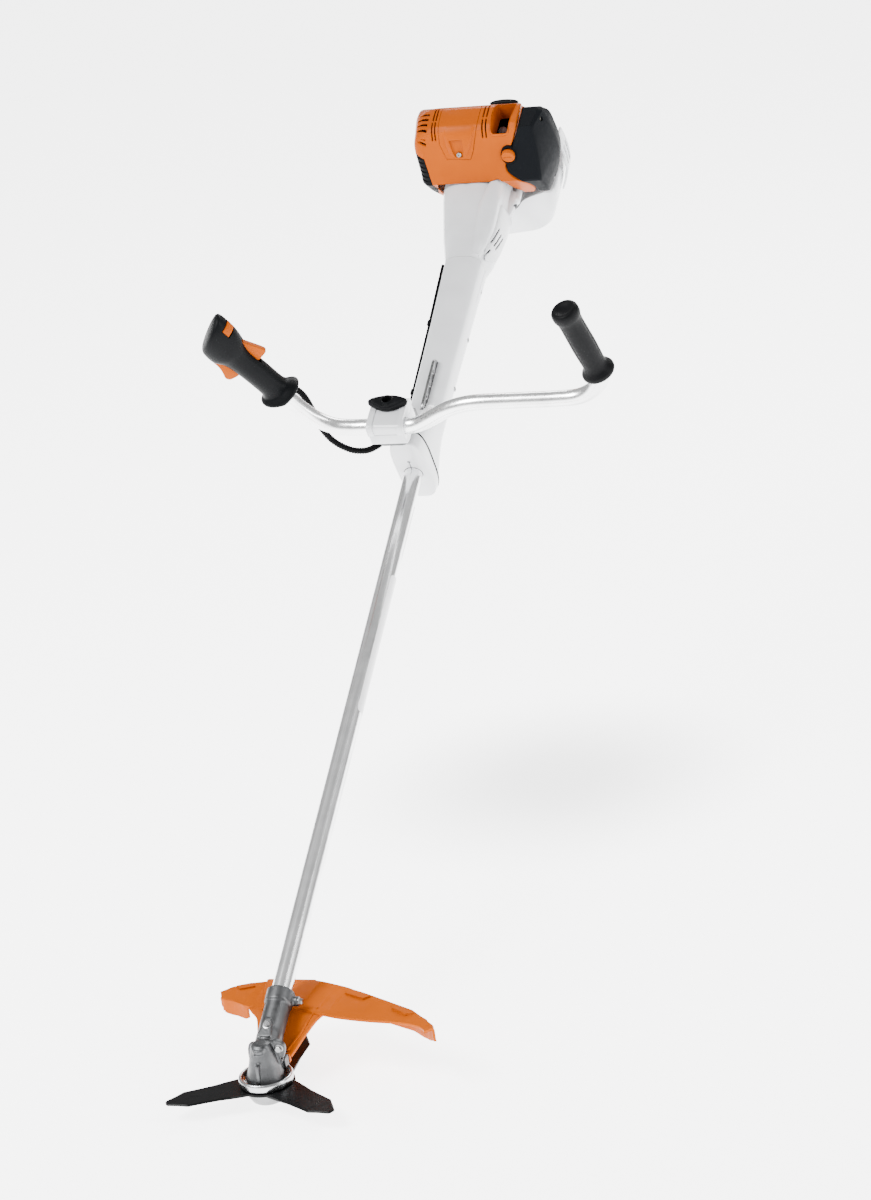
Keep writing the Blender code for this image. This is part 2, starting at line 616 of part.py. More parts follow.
def plain_grip(frame):
    bore = BAR_R + 4 * GAP
    profile = [(0, 122), (12, 121.3), (17.5, 118.5), (19, 114), (19, 108), (16.6, 103), (15.9, 80),
               (16.4, 50), (15.4, 22), (16.8, 14), (21.5, 8), (22.5, 4.5), (21.5, 1), (19, 0),
               (15.5, 0), (13.6, 14), (bore, 32), (bore, 96), (0, 96)]
    add_part("plain_grip", turned(profile, "Z", segments=18), "rubber", frame)


GRIP_SECTIONS = [               # along, reach on the lockout side, reach on the trigger side, depth
    (0, 25, 25, 24), (3, 27.5, 28, 26.5), (8, 25, 27, 24), (14, 19, 21, 19), (22, 17, 18.5, 17),
    (50, 17.2, 18, 17.6), (80, 17, 19, 18), (94, 18.5, 23, 19), (104, 23, 30, 21), (116, 26, 34, 21.5),
    (132, 26, 34, 21), (141, 21, 30, 17), (144, 15, 23, 12)]


def grip_half(name, frame, side):
    """Front (side -1) or rear (side +1) half shell of the control grip."""
    rings = []
    for along, lockout, trigger, depth in GRIP_SECTIONS:
        ring = []
        for k in range(11):
            angle = pi * k / 10
            reach = lockout if k < 5 else trigger
            c, s = cos(angle), sin(angle)
            ring.append((reach * c, side * (0.2 + (depth - 0.2) * s ** 0.9), along))
        rings.append(ring)
    half = add_part(name, loft(rings), "black", frame)
    socket = [(0, -10), (16, -10), (13.6, 16), (BAR_R + 4 * GAP, 34), (BAR_R + 4 * GAP, 60), (0, 60)]
    cut(half, turned(socket, "Z", segments=20), frame)
    pockets = [
        prism([(-46, 74), (-8, 74), (-8, 112), (-46, 112)], "Y", -6.0, 6.0),
        prism([(7, 62), (30, 62), (30, 104), (7, 104)], "Y", -5.2, 5.2),
        prism([(17, 114), (32, 114), (32, 128), (17, 128)], "Y", -4.8, 4.8)]
    cut(half, merge(*pockets), frame)


def grip_controls(frame):
    lever = rounded([(-15, 107, 3), (-13.5, 88, 3), (-20, 79, 3), (-34, 80, 5), (-50, 88, 5), (-41, 98, 7),
                     (-33, 109.5, 3), (-22, 110, 4)], 3)
    add_part("throttle_trigger", prism(lever, "Y", -5.2, 5.2), "orange", frame, (-19, 0, 106))
    lever = rounded([(13, 102, 2), (12.8, 70, 3), (17, 66, 2), (28.5, 68, 3), (27.5, 78, 4),
                     (20, 102, 2)], 3)
    add_part("trigger_lockout", prism(lever, "Y", -4.4, 4.4), "orange", frame, (15, 0, 100))
    switch = rounded([(20.5, 115, 0), (27.8, 115, 1.5), (28.8, 121, 1.5), (27.6, 127, 1.5),
                      (20.5, 127, 0)], 2)
    add_part("stop_switch", prism(switch, "Y", -4.2, 4.2), "orange", frame, (24, 0, 121))


# --- throttle cable -------------------------------------------------------------------------
def throttle_line():
    """The corrugated sleeve from grip to nose, and the cable that runs up beside the casing."""
    sleeve = [(-125, 955, 181), (-115, 957, 160), (-110, 956, 132), (-106, 952, 104), (-94, 948, 78),
              (-74, 947, 60), (-57, 955, 48), (-46, 970, 40), (-38, 983, 37.4), (-29, 987, 37),
              (-20.5, *SLEEVE_MOUTH)]
    add_part("cable_sleeve", swept(smooth_route(sleeve, 11), 4.6, 0, 10), "rubber", SHAFT)
    beside = [(1084, 29.4, 8.8), (1100, 29.4, 9), (1150, 29.5, 10), (1200, 30.0, 10.5), (1231, 30.4, 11),
              (1290, 31.4, 12), (1338, 32.6, 12)]
    route = smooth_route([(-x, s, h) for s, x, h in beside], 32)
    add_part("throttle_cable", swept(route, 1.5, 0, 8), "black", SHAFT)
    for name, s, x, h in (("cable_clip_lower", 1099, 29.4, 9), ("cable_clip_upper", 1231, 30.4, 11)):
        clip = pipe("Y", (-x, 0, h), 2.4, 3.8, s - 4, s + 4, 10)
        add_part(name, clip, "black", SHAFT)


# --- clutch housing -------------------------------------------------------------------------
def clutch_housing_rings(inset):
    sections = [(CASING_BACK + GAP, -29, 29, -30, 29), (1368, -34, 35, -34, 31), (1391, -40, 38, -38, 33.5),
                (1442, -50, 39.5, -46, 38), (1480, -57, 40, -51.5, 41.5), (1512, -60.5, 41, -55, 42)]
    rings = []
    for s, left, right, low, high in sections:
        outline = superellipse((left + inset, right - inset), (low + inset, high - inset), 3.0, 22)
        rings.append([(x, s, h) for x, h in outline])
    return rings


def clutch_housing():
    shell = loft(clutch_housing_rings(0) + clutch_housing_rings(3.0)[::-1], closed=True)
    housing = add_part("clutch_housing", shell, "white", SHAFT, sharp=40)
    fuse(housing, pipe("Y", (0, 0, 0), NECK_BORE, 20, 1440, 1466, 24), SHAFT)
    spokes = merge(prism([(-52, -3), (-15, -3), (-15, 3), (-52, 3)], "Y", 1446, 1460),
                   prism([(-3, -47), (3, -47), (3, -15), (-3, -15)], "Y", 1446, 1460),
                   prism([(-3, 15), (3, 15), (3, 37), (-3, 37)], "Y", 1446, 1460))
    fuse(housing, spokes, SHAFT)
    lug = turned([(0, 1494), (7, 1494), (8, 1496), (8, 1514), (0, 1514)], "Y", (45, 0, -9), 16)
    fuse(housing, lug, SHAFT)
    cut(housing, rod("Y", (45, 0, -9), 2.6, 1490, 1520, 12), SHAFT)
    rings = []
    for s, inside, outside, low, high in ((1347, 30.4, 41.4, -24, 12), (1368, 36.4, 43.2, -36, 21),
                                          (1392, 39.4, 44.2, -41, 25), (1442, 40.4, 44.6, -45, 29),
                                          (1474, 41.0, 44.6, -44, 26), (1490, 41.2, 44.0, -34, 14)):
        rings.append([(inside, s, low), (outside - 1.5, s, low), (outside, s, low + 3),
                      (outside, s, high - 3), (outside - 1.5, s, high), (inside, s, high)])
    vent = add_part("vent_cover", loft(rings), "white", SHAFT, sharp=40)
    slots = []
    for row, length in ((1378, 30), (1418, 34)):
        for k in range(5):
            s = row + k * 1.5
            h = -26 + k * 9
            slots.append(box((35, 50), (s, s + length), (h, h + 2.2)))
    cut(vent, merge(*slots), SHAFT)


# --- clutch and drive -----------------------------------------------------------------------
def clutch():
    drum = [(3.5, 1484), (8, 1484), (8, 1488), (34, 1488), (34, 1510), (31.8, 1510), (31.8, 1490.4),
            (8, 1490.4), (8, 1494), (3.5, 1494)]
    add_part("clutch_drum", turned(drum, "Y", segments=24), "steel", SHAFT)
    for name, side in (("clutch_shoe_a", 1), ("clutch_shoe_b", -1)):
        arc = []
        for radius, angles in ((30.2, range(-70, 71, 20)), (14.0, range(50, -51, -25))):
            arc += [(side * radius * cos(radians(a)), radius * sin(radians(a))) for a in angles]
        add_part(name, prism(arc, "Y", 1497.5, 1508), "steel", SHAFT)


# --- engine ---------------------------------------------------------------------------------
def crankshaft():
    front = [(0, 1497.5), (10, 1497.5), (10, 1508), (7, 1508), (7, 1535), (20, 1535), (20, 1541.5),
             (0, 1541.5)]
    shaft = add_part("crankshaft", turned(front, "Y", segments=18), "steel", SHAFT)
    back = [(0, 1552.5), (20, 1552.5), (20, 1559), (7, 1559), (7, 1612), (4.5, 1612), (4.5, 1622), (0, 1622)]
    fuse(shaft, turned(back, "Y", segments=18), SHAFT)
    fuse(shaft, rod("Y", (CRANK_THROW, 0, 0), 5, 1540, 1554, 16), SHAFT)


def crankcase():
    body = rounded([(-30, -36, 10), (30, -36, 10), (36, 0, 10), (30, 34, 4), (-30, 34, 4), (-36, 0, 10)], 3)
    case = add_part("crankcase", prism(body, "Y", 1516, 1578), "casting", SHAFT)
    chamber = [(0, 1510), (7.4, 1510), (7.4, 1526), (25, 1526), (25, 1568), (7.4, 1568), (7.4, 1585),
               (0, 1585)]
    cut(case, turned(chamber, "Y", segments=24), SHAFT)
    cut(case, rod("Z", (0, CYLINDER_S, 0), PISTON_R + 1.5, 0, 40, 28), SHAFT)


def cylinder():
    wall = []
    for k in range(4):
        low = 40.5 + k * 11
        wall += [(25, low), (31, low + 0.6), (31, low + 2.6), (25, low + 3.2)]
    bore = PISTON_R + GAP
    profile = [(bore, 34.3)] + wall + [(25, 84), (14, 88), (5.6, 88), (5.6, 80), (bore, 80)]
    barrel = add_part("cylinder", turned(profile, "Z", (0, CYLINDER_S, 0), 20), "casting", SHAFT)
    fuse(barrel, box((-29.5, 29.5), (1521, 1573), (34.3, 37)), SHAFT)
    cut(barrel, rod("Z", (0, CYLINDER_S, 0), bore, 20, 60, 20), SHAFT)
    head = [(0, 63), (19.0, 63), (PISTON_R - GAP, 62), (PISTON_R - GAP, 40), (17.3, 40), (17.3, 58), (0, 58)]
    add_part("piston", turned(head, "Z", (0, CYLINDER_S, 0), 20), "alloy", SHAFT, (0, CYLINDER_S, 50))
    plug = [(0, 81), (5.0, 81), (5.0, 88.4), (8.5, 88.4), (8.5, 94), (5.5, 95), (4.8, 106), (3, 107),
            (3, 110), (0, 110)]
    add_part("spark_plug", turned(plug, "Z", (0, CYLINDER_S, 0), 14), "ceramic", SHAFT)


def flywheel():
    hub = [(7.3, 1584), (14, 1584), (14, 1590), (48, 1590), (48, 1593), (14, 1593), (14, 1606), (7.3, 1606)]
    fan = add_part("flywheel_fan", turned(hub, "Y", segments=24), "casting", SHAFT)
    blades = []
    for k in range(8):
        angle = tau * k / 8
        vane = box((26, 47), (1592.5, 1606), (-1.3, 1.3))
        bmesh.ops.rotate(vane, verts=vane.verts, cent=(0, 0, 0), matrix=Matrix.Rotation(angle, 3, "Y"))
        blades.append(vane)
    fuse(fan, merge(*blades), SHAFT)


STARTER_PULL = (0, sqrt(0.5), sqrt(0.5))       # the way the rope is pulled
STARTER_EYE = (14.0, 1645.0, 41.0)


def starter_housing():
    profile = [(0, 1664), (22, 1664), (31, 1660), (53, 1634), (54, 1628), (54, 1582), (51.4, 1582),
               (51.4, 1627), (29.5, 1656), (21, 1661), (0, 1661)]
    shell = add_part("starter_housing", turned(profile, "Y", segments=24), "black", SHAFT)
    vents = []
    for k in range(8):
        angle = tau * (k + 0.5) / 8
        slot = box((33, 44), (1638, 1672), (-1.6, 1.6))
        bmesh.ops.rotate(slot, verts=slot.verts, cent=(0, 0, 0), matrix=Matrix.Rotation(angle, 3, "Y"))
        vents.append(slot)
    cut(shell, merge(*vents), SHAFT)
    pull = Vector(STARTER_PULL)
    start = Vector(STARTER_EYE)
    cut(shell, swept([start - pull * 12, start, start + pull * 12], 3.2, 0, 12), SHAFT)


def starter_grip():
    """Pull grip with the first stretch of its rope, which passes through the housing's eye."""
    pull = Vector(STARTER_PULL)
    seat = Vector(STARTER_EYE) + pull * 5
    middle = seat + pull * 5
    route = [middle + Vector((x, 0, 0)) - pull * (x / 22) ** 2 * 2.5 for x in (-21, -14, -7, 0, 7, 14, 21)]
    grip = add_part("starter_grip", swept(route, 4.6, 0, 12), "black", SHAFT, tuple(middle))
    fuse(grip, swept([middle - pull * 5.5, middle - pull * 2], 6.5, 0, 12), SHAFT)
    fuse(grip, swept([middle - pull * 21, middle], 1.9, 0, 10), SHAFT)


def shroud_slices(inset):
    """Level cuts of the engine shroud: height, left side in front and behind, right side, back."""
    slices = [(-28, -64, -92, 60, 1628), (-10, -70, -98, 72, 1631), (14, -78, -104, 79, 1632),
              (30, -80, -106, 75, 1632), (SHROUD_LIP_H, -81, -107, 63, 1632), (55, -82, -107, 50.5, 1629),
              (67, -84, -106, 50.5, 1620), (90, -87, -99, 62, 1595), (104, -82, -89, 68, 1580),
              (111, -74, -80, 71, 1572)]
    rings = []
    for h, left, left_back, right, back in slices:
        front = SHROUD_LIP_S + SHROUD_SLOPE * abs(h - SHROUD_LIP_H)
        rings.append((h, left + inset, left_back + inset, right - inset, front + inset * 1.14, back - inset))
    crown = [(116, -62, -66, 70, 1526, 1565), (118.5, -44, -48, 58, 1538, 1558)]
    if inset:
        rings[0] = (-45,) + rings[0][1:]
        crown = [(115.8, -58, -60, 66, 1532, 1560)]
    return [[(x, s, h) for x, s in rounded([(left, front, 14), (right, front, 3), (right, back, 5),
                                            (left_back, back, 9)], 2)]
            for h, left, left_back, right, front, back in rings + crown]


def grown(outline, by):
    """A polygon with each corner pushed out from its two edges."""
    result = []
    for k, (a, b) in enumerate(outline):
        corner = Vector((a, b))
        before = (corner - Vector(outline[k - 1])).normalized()
        after = (Vector(outline[(k + 1) % len(outline)]) - corner).normalized()
        normal = Vector((before.y + after.y, -before.x - after.x)).normalized()
        result.append(tuple(corner - normal * by))
    return result


# (x, h) outlines, as seen along the tube, of the panels let into the shroud
GRILLE_OUTLINE = [(-130, 84), (-88, 84), (-73, 77), (-62.5, 29), (-70, 4), (-84, -2), (-130, -2)]
PLUG_PANEL_OUTLINE = [(20, 140), (3, 85), (-2, 74), (-38, 76), (-46, 95), (-46, 140)]
GRILLE_BACK = 1598.0
PLUG_PANEL_BACK = 1572.0
CHOKE = (56, 0, 78)


def engine_shroud():
    shroud = add_part("engine_shroud", loft(shroud_slices(0)), "orange", SHAFT, sharp=28)
    cut(shroud, loft(shroud_slices(2.6)), SHAFT)
    throat = [(-90, -70), (-62, -12), (-62, 30), (-57, 43.2), (36, 43.2), (47, 22), (60, -9), (95, -9),
              (95, -70)]
    cut(shroud, prism(throat, "Y", 1470, 1560), SHAFT)
    cut(shroud, rod("Y", (0, 0, 0), 55.5, 1590, 1650, 24), SHAFT)
    cut(shroud, prism(grown(GRILLE_OUTLINE, 1.5 * GAP), "Y", 1440, GRILLE_BACK + 1.5 * GAP), SHAFT)
    plug_opening = prism(grown(PLUG_PANEL_OUTLINE, 1.5 * GAP), "Y", 1440, PLUG_PANEL_BACK + 1.5 * GAP)
    cut(shroud, plug_opening, SHAFT)
    window = rounded([(33, 1515, 4), (58, 1515, 4), (64, 1569, 4), (34, 1569, 4)], 2)
    cut(shroud, prism(window, "Z", 88, 140), SHAFT)
    cut(shroud, rod("X", (0, 1548, 58), 9, 40, 60, 14), SHAFT)
    cut(shroud, rod("Y", CHOKE, 10.4, 1480, 1530, 16), SHAFT)


def shell_panel(name, outline, back, colour):
    """A panel of the shroud's own skin, cut out along its outline."""
    panel = add_part(name, loft(shroud_slices(0)), colour, SHAFT, sharp=28)
    cut(panel, loft(shroud_slices(2.6)), SHAFT)
    combine(panel, prism(outline, "Y", 1440, back), "INTERSECT", SHAFT)
    return panel


def filter_cover_slices(inset):
    """Level cuts of the filter cover: height, left side, ridge, right side, back."""
    slices = [(-24, 84, 89, 92, 1577), (-5, 83, 97, 103, 1577), (14, 82, 100, 109, 1577),
              (30, 78, 100, 113, 1577), (45, 66, 100, 114, 1577), (55, 52, 100, 114, 1577),
              (67, 52, 100, 113, 1577), (90, 64, 98, 110, 1577), (110, 73, 95, 105, 1564),
              (114, 77, 93, 99, 1558)]
    rings = []
    for h, left, ridge, right, back in slices:
        front = SHROUD_LIP_S - 2.0 + SHROUD_SLOPE * abs(h - SHROUD_LIP_H) + max(0, -h) * 0.5
        rings.append([(left + inset, front + inset, h), (ridge - inset * 0.6, front + inset, h),
                      (right - inset, 1554, h), (right - 3 - inset, back, h), (left + inset, back, h)])
    return rings


def filter_cover():
    cover = add_part("filter_cover", loft(filter_cover_slices(0)), "black", SHAFT, sharp=20)
    hollow = []
    for ring in filter_cover_slices(2.6)[1:-1]:
        front_left, ridge, right, back_right, back_left = [Vector(p) for p in ring]
        reach = Vector((0, 20, 0))
        hollow.append([front_left, ridge, right, back_right + reach, back_left + reach])
    cut(cover, loft(hollow), SHAFT)
    cut(cover, box((40, 76), (1522, 1590), (46, 106)), SHAFT)
    cut(cover, rod("Y", CHOKE, 10.4, 1460, 1530, 16), SHAFT)


def intake():
    block = box((33, 47.2), (1530, 1566), (46, 70))
    carburettor = add_part("carburettor", block, "casting", SHAFT)
    cut(carburettor, rod("X", (0, 1548, 58), 7, 20, 60, 16), SHAFT)
    cut(carburettor, rod("Z", (39, 1550, 0), 4.0, 66, 80, 12), SHAFT)
    felt = rounded([(1526, 52, 4), (1570, 52, 4), (1570, 92, 4), (1526, 92, 4)], 2)
    add_part("air_filter", prism(felt, "X", 72, 94), "felt", SHAFT)
    bulb = [(0, 69.6), (3.6, 69.6), (3.6, 73.4), (8, 73.4), (8, 76), (7.2, 80), (5, 83), (0, 84)]
    add_part("primer_bulb", turned(bulb, "Z", (39, 1550, 0), 12), "rubber", SHAFT, (39, 1550, 73.4))
    knob = [(0, 1489), (8, 1489), (9, 1490.5), (9, 1497), (6, 1498), (6, 1512), (0, 1512)]
    add_part("choke_knob", turned(knob, "Y", CHOKE, 16), "orange", SHAFT, (CHOKE[0], 1500, CHOKE[2]))


def exhaust():
    can = rounded([(-74, 0, 8), (-40, 0, 8), (-40, 52, 8), (-74, 52, 8)], 2)
    muffler = add_part("muffler", prism(can, "Y", 1538, 1579), "steel", SHAFT)
    inside = rounded([(-72, 2, 7), (-42, 2, 7), (-42, 50, 7), (-72, 50, 7)], 2)
    cut(muffler, prism(inside, "Y", 1540, 1577), SHAFT)
    ports = merge(rod("X", (0, 1558, 36), 7, -46, -30, 14), rod("X", (0, 1560, 16), 6, -80, -65, 14))
    cut(muffler, ports, SHAFT)
    grille = shell_panel("muffler_guard", GRILLE_OUTLINE, GRILLE_BACK, "black")
    slots = [box((-130, -80), (1534, 1584), (h, h + 4)) for h in range(10, 70, 12)]
    cut(grille, merge(*slots), SHAFT)


def fuel_tank():
    """Moulded tank under the engine, with a wing that comes up beside the filter cover."""
    outline = rounded([(-45, -66, 6), (-45, -104, 14), (-25, -117, 10), (54, -108, 14), (76, -95, 12),
                       (91, -60, 10), (96, -36, 5), (95, -27, 3), (84, -25, 3), (70, -29, 4), (45, -39, 8),
                       (28, -62, 10)], 2)
    tank = loft([[(20 + (x - 20) * k, s, -70 + (h + 70) * k) for x, h in outline]
                 for k, s in ((0.94, 1531), (1, 1537), (0.97, 1632), (0.92, 1638))])
    body = add_part("fuel_tank", tank, "white", SHAFT, sharp=35)
    cut(body, rod("Y", (14, 0, -91), 9, 1600, 1650, 18), SHAFT)
    cap = [(0, 1626), (8.5, 1626), (8.5, 1638.4), (15, 1638.4), (15, 1648), (13, 1650), (0, 1650)]
    add_part("fuel_cap", turned(cap, "Y", (14, 0, -91), 18), "black", SHAFT, (14, 1640, -91))


def engine_foot():
    """White strap that stands the engine up and guards the tank, with two long windows."""
    outer = [(105, 30), (109, 2), (107, -30), (99, -54), (91, -70)]
    inner = [(89, -68), (96, -53), (101, -36), (104, -28), (105.5, 2), (101.5, 29)]
    foot = add_part("engine_foot", prism(outer + inner, "Y", 1579, 1606), "white", SHAFT)
    cut(foot, merge(box((90, 130), (1584, 1590), (-24, 8)), box((90, 130), (1595, 1601), (-24, 8))), SHAFT)


def main():
    gear_housing()
    gear_head_fasteners()
    gears()
    bearings()
    output_shaft()
    thrust_plate()
    brush_knife()
    knife_fasteners()
    guard()
    drive_tube()
    shaft_casing()
    carry_rail()
    handle_support()
    bar_clamp()
    wing_screw()
    handlebar()
    plain_grip(grip_frame("plain_grip_frame", RIGHT_BASE, PLAIN_LEAN, 0))
    control = grip_frame("control_grip_frame", LEFT_BASE, CONTROL_LEAN, CONTROL_ROLL)
    grip_half("control_grip_front", control, -1)
    grip_half("control_grip_rear", control, 1)
    grip_controls(control)
    throttle_line()
    clutch_housing()
    clutch()
    crankshaft()
    crankcase()
    cylinder()
    flywheel()
    starter_housing()
    starter_grip()
    engine_shroud()
    shell_panel("plug_cover", PLUG_PANEL_OUTLINE, PLUG_PANEL_BACK, "orange")
    filter_cover()
    intake()
    exhaust()
    fuel_tank()
    engine_foot()
    bpy.context.view_layer.update()


main()
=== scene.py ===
"""Looks of the two-handle brush mower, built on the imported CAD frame.

Shapes are drawn in millimetres in the CAD's two frames and turned into the row frame, in metres:
- SHAFT, at the gear centre: y runs up the drive tube (called s), z stands square to it (h);
- HEAD, at the same point but level, for the gear head, the guard and the knife.
"""

import bpy
import bmesh
import json
from math import atan2, cos, pi, radians, sin, sqrt, tau
from mathutils import Matrix, Vector


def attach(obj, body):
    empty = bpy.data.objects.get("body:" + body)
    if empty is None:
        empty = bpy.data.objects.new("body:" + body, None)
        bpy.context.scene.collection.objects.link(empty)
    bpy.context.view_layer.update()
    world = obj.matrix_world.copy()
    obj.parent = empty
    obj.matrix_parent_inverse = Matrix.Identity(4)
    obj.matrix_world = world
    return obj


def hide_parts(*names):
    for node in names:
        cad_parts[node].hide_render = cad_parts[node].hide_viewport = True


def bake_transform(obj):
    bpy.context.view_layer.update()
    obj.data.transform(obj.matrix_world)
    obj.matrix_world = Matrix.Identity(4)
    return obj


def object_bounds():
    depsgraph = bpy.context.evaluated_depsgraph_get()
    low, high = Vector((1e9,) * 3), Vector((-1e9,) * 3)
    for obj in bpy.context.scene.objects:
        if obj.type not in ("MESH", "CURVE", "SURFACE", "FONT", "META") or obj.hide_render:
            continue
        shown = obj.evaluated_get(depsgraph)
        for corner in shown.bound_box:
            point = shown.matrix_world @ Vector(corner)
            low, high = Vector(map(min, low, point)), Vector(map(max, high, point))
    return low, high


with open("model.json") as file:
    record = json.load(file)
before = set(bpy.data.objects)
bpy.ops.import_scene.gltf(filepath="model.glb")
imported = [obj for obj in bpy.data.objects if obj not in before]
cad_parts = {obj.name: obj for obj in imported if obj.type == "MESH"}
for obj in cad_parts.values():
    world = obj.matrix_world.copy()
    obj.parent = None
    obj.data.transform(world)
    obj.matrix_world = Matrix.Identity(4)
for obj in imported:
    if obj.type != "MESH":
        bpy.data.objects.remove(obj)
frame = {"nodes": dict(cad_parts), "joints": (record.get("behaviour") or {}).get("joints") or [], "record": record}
CAD_LOW, CAD_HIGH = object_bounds()
JOINTS = {joint["name"]: joint for joint in frame["joints"]}
GEAR_CENTRE = Vector(JOINTS["cutter_spin"]["pos_m"])
TUBE_WAY = Vector(JOINTS["shaft_spin"]["axis"])
TUBE_LEAN = atan2(TUBE_WAY.z, TUBE_WAY.y)
MM = Matrix.Scale(0.001, 4)
HEAD = Matrix.Translation(GEAR_CENTRE) @ MM
SHAFT = Matrix.Translation(GEAR_CENTRE) @ Matrix.Rotation(TUBE_LEAN, 4, "X") @ MM

# --- driving dimensions, millimetres, as in the CAD ------------------------------------------
TUBE_R = 12.7
NECK_END = 100.0
KNIFE_R = 125.0
KNIFE_TURN = radians(207.8)
KNIFE_Z = (-30.0, -27.0)
RIDER_FACE = -49.5
CASING_FRONT = 976.0
CASING_BACK = 1345.0
RAIL_X, RAIL_S, RAIL_H = 4.0, 1088.0, 32.8
BAR_S, BAR_H, BAR_R = 933.5, 118.0, 11.0
SWIVEL_S = 957.0
LEFT_BASE = (-128.0, 186.0)
RIGHT_BASE = (314.0, 205.0)
CONTROL_LEAN = atan2(57.9, 105.1)
CONTROL_ROLL = radians(18)
PLAIN_LEAN = atan2(21, 117)
LIP_S, LIP_H, FACE_SLOPE = 1482.0, 43.0, 0.54
SKIN = 2.6
SEAM = 0.55


def grip_matrix(base, lean, roll):
    place = Matrix.Translation((base[0], BAR_S, base[1]))
    return SHAFT @ place @ Matrix.Rotation(-lean, 4, "Y") @ Matrix.Rotation(roll, 4, "Z")


CONTROL = grip_matrix(LEFT_BASE, CONTROL_LEAN, CONTROL_ROLL)
PLAIN = grip_matrix(RIGHT_BASE, PLAIN_LEAN, 0)


# --- materials -------------------------------------------------------------------------------
class Finish:
    """A material with a Principled shader and helpers for its procedural texture."""

    def __init__(self, name, roughness, metallic=0.0):
        self.material = bpy.data.materials.new(name)
        self.material.use_nodes = True
        self.tree = self.material.node_tree
        self.shader = self.tree.nodes["Principled BSDF"]
        self.shader.inputs["Roughness"].default_value = roughness
        self.shader.inputs["Metallic"].default_value = metallic
        self.normal = None
        self.place = self.node("ShaderNodeTexCoord").outputs["Object"]

    def node(self, kind, **settings):
        made = self.tree.nodes.new(kind)
        for key, value in settings.items():
            if key in made.inputs:
                made.inputs[key].default_value = value
            else:
                setattr(made, key, value)
        return made

    def link(self, source, target):
        self.tree.links.new(source, target)

    def stretched(self, scale, turn):
        """Object coordinates turned about X and stretched, for grain that runs one way."""
        turned_by = self.node("ShaderNodeMapping", Rotation=(turn, 0, 0))
        self.link(self.place, turned_by.inputs["Vector"])
        sized = self.node("ShaderNodeMapping", Scale=scale)
        self.link(turned_by.outputs["Vector"], sized.inputs["Vector"])
        return sized.outputs["Vector"]

    def noise(self, scale, detail, place=None):
        made = self.node("ShaderNodeTexNoise", Scale=scale, Detail=detail)
        self.link(place or self.place, made.inputs["Vector"])
        return made.outputs["Fac"]

    def tones(self, fac, dark, light):
        ramp = self.node("ShaderNodeValToRGB")
        for stop, position, colour in zip(ramp.color_ramp.elements, (0.35, 0.65), (dark, light)):
            stop.position = position
            stop.color = (*colour, 1)
        self.link(fac, ramp.inputs["Fac"])
        self.link(ramp.outputs["Color"], self.shader.inputs["Base Color"])

    def mapped(self, value, given, wanted, kind="LINEAR"):
        """A value turned from one range into another."""
        made = self.node("ShaderNodeMapRange", interpolation_type=kind)
        for socket, number in zip(("From Min", "From Max", "To Min", "To Max"), (*given, *wanted)):
            made.inputs[socket].default_value = number
        self.link(value, made.inputs["Value"])
        return made.outputs["Result"]

    def uneven_roughness(self, fac, low, high):
        self.link(self.mapped(fac, (0.3, 0.7), (low, high)), self.shader.inputs["Roughness"])

    def round_edges(self, radius_mm):
        edge = self.node("ShaderNodeBevel", Radius=radius_mm * 0.001)
        edge.samples = 4
        self.normal = edge.outputs["Normal"]
        self.link(self.normal, self.shader.inputs["Normal"])

    def bump(self, fac, height_mm):
        made = self.node("ShaderNodeBump", Strength=1.0, Distance=height_mm * 0.001)
        self.link(fac, made.inputs["Height"])
        if self.normal:
            self.link(self.normal, made.inputs["Normal"])
        self.normal = made.outputs["Normal"]
        self.link(self.normal, self.shader.inputs["Normal"])


def shade(colour, factor):
    return tuple(min(1.0, c * factor) for c in colour)


def plastic(name, colour, roughness, grain=(900, 0.03), coat=0.0, edge=0.8, spread=0.05, gleam=0.5):
    """Moulded plastic: faint flow marks, a fine grain and softly rounded edges."""
    finish = Finish(name, roughness)
    finish.shader.inputs["Specular IOR Level"].default_value = gleam
    finish.tones(finish.noise(22, 4), shade(colour, 0.95), shade(colour, 1.04))
    finish.uneven_roughness(finish.noise(160, 3), roughness - spread, roughness + spread)
    finish.round_edges(edge)
    finish.bump(finish.noise(grain[0], 2), grain[1])
    finish.shader.inputs["Coat Weight"].default_value = coat
    finish.shader.inputs["Coat Roughness"].default_value = 0.12
    return finish.material


def metal(name, colour, roughness, grain=(700, 0.02), stretch=None, edge=0.4, spread=0.05):
    """Metal with a grain, stretched where it was drawn, turned or ground."""
    finish = Finish(name, roughness, 1.0)
    place = finish.stretched(stretch, -TUBE_LEAN) if stretch else finish.place
    finish.tones(finish.noise(30, 4), shade(colour, 0.90), shade(colour, 1.06))
    finish.uneven_roughness(finish.noise(grain[0] / 3, 3, place), roughness - spread, roughness + spread)
    finish.round_edges(edge)
    finish.bump(finish.noise(grain[0], 3, place), grain[1])
    return finish.material


def clear_bulb():
    finish = Finish("primer_bulb_clear", 0.12)
    finish.tones(finish.noise(60, 2), (0.30, 0.31, 0.32), (0.42, 0.43, 0.45))
    finish.shader.inputs["Transmission Weight"].default_value = 0.45
    return finish.material


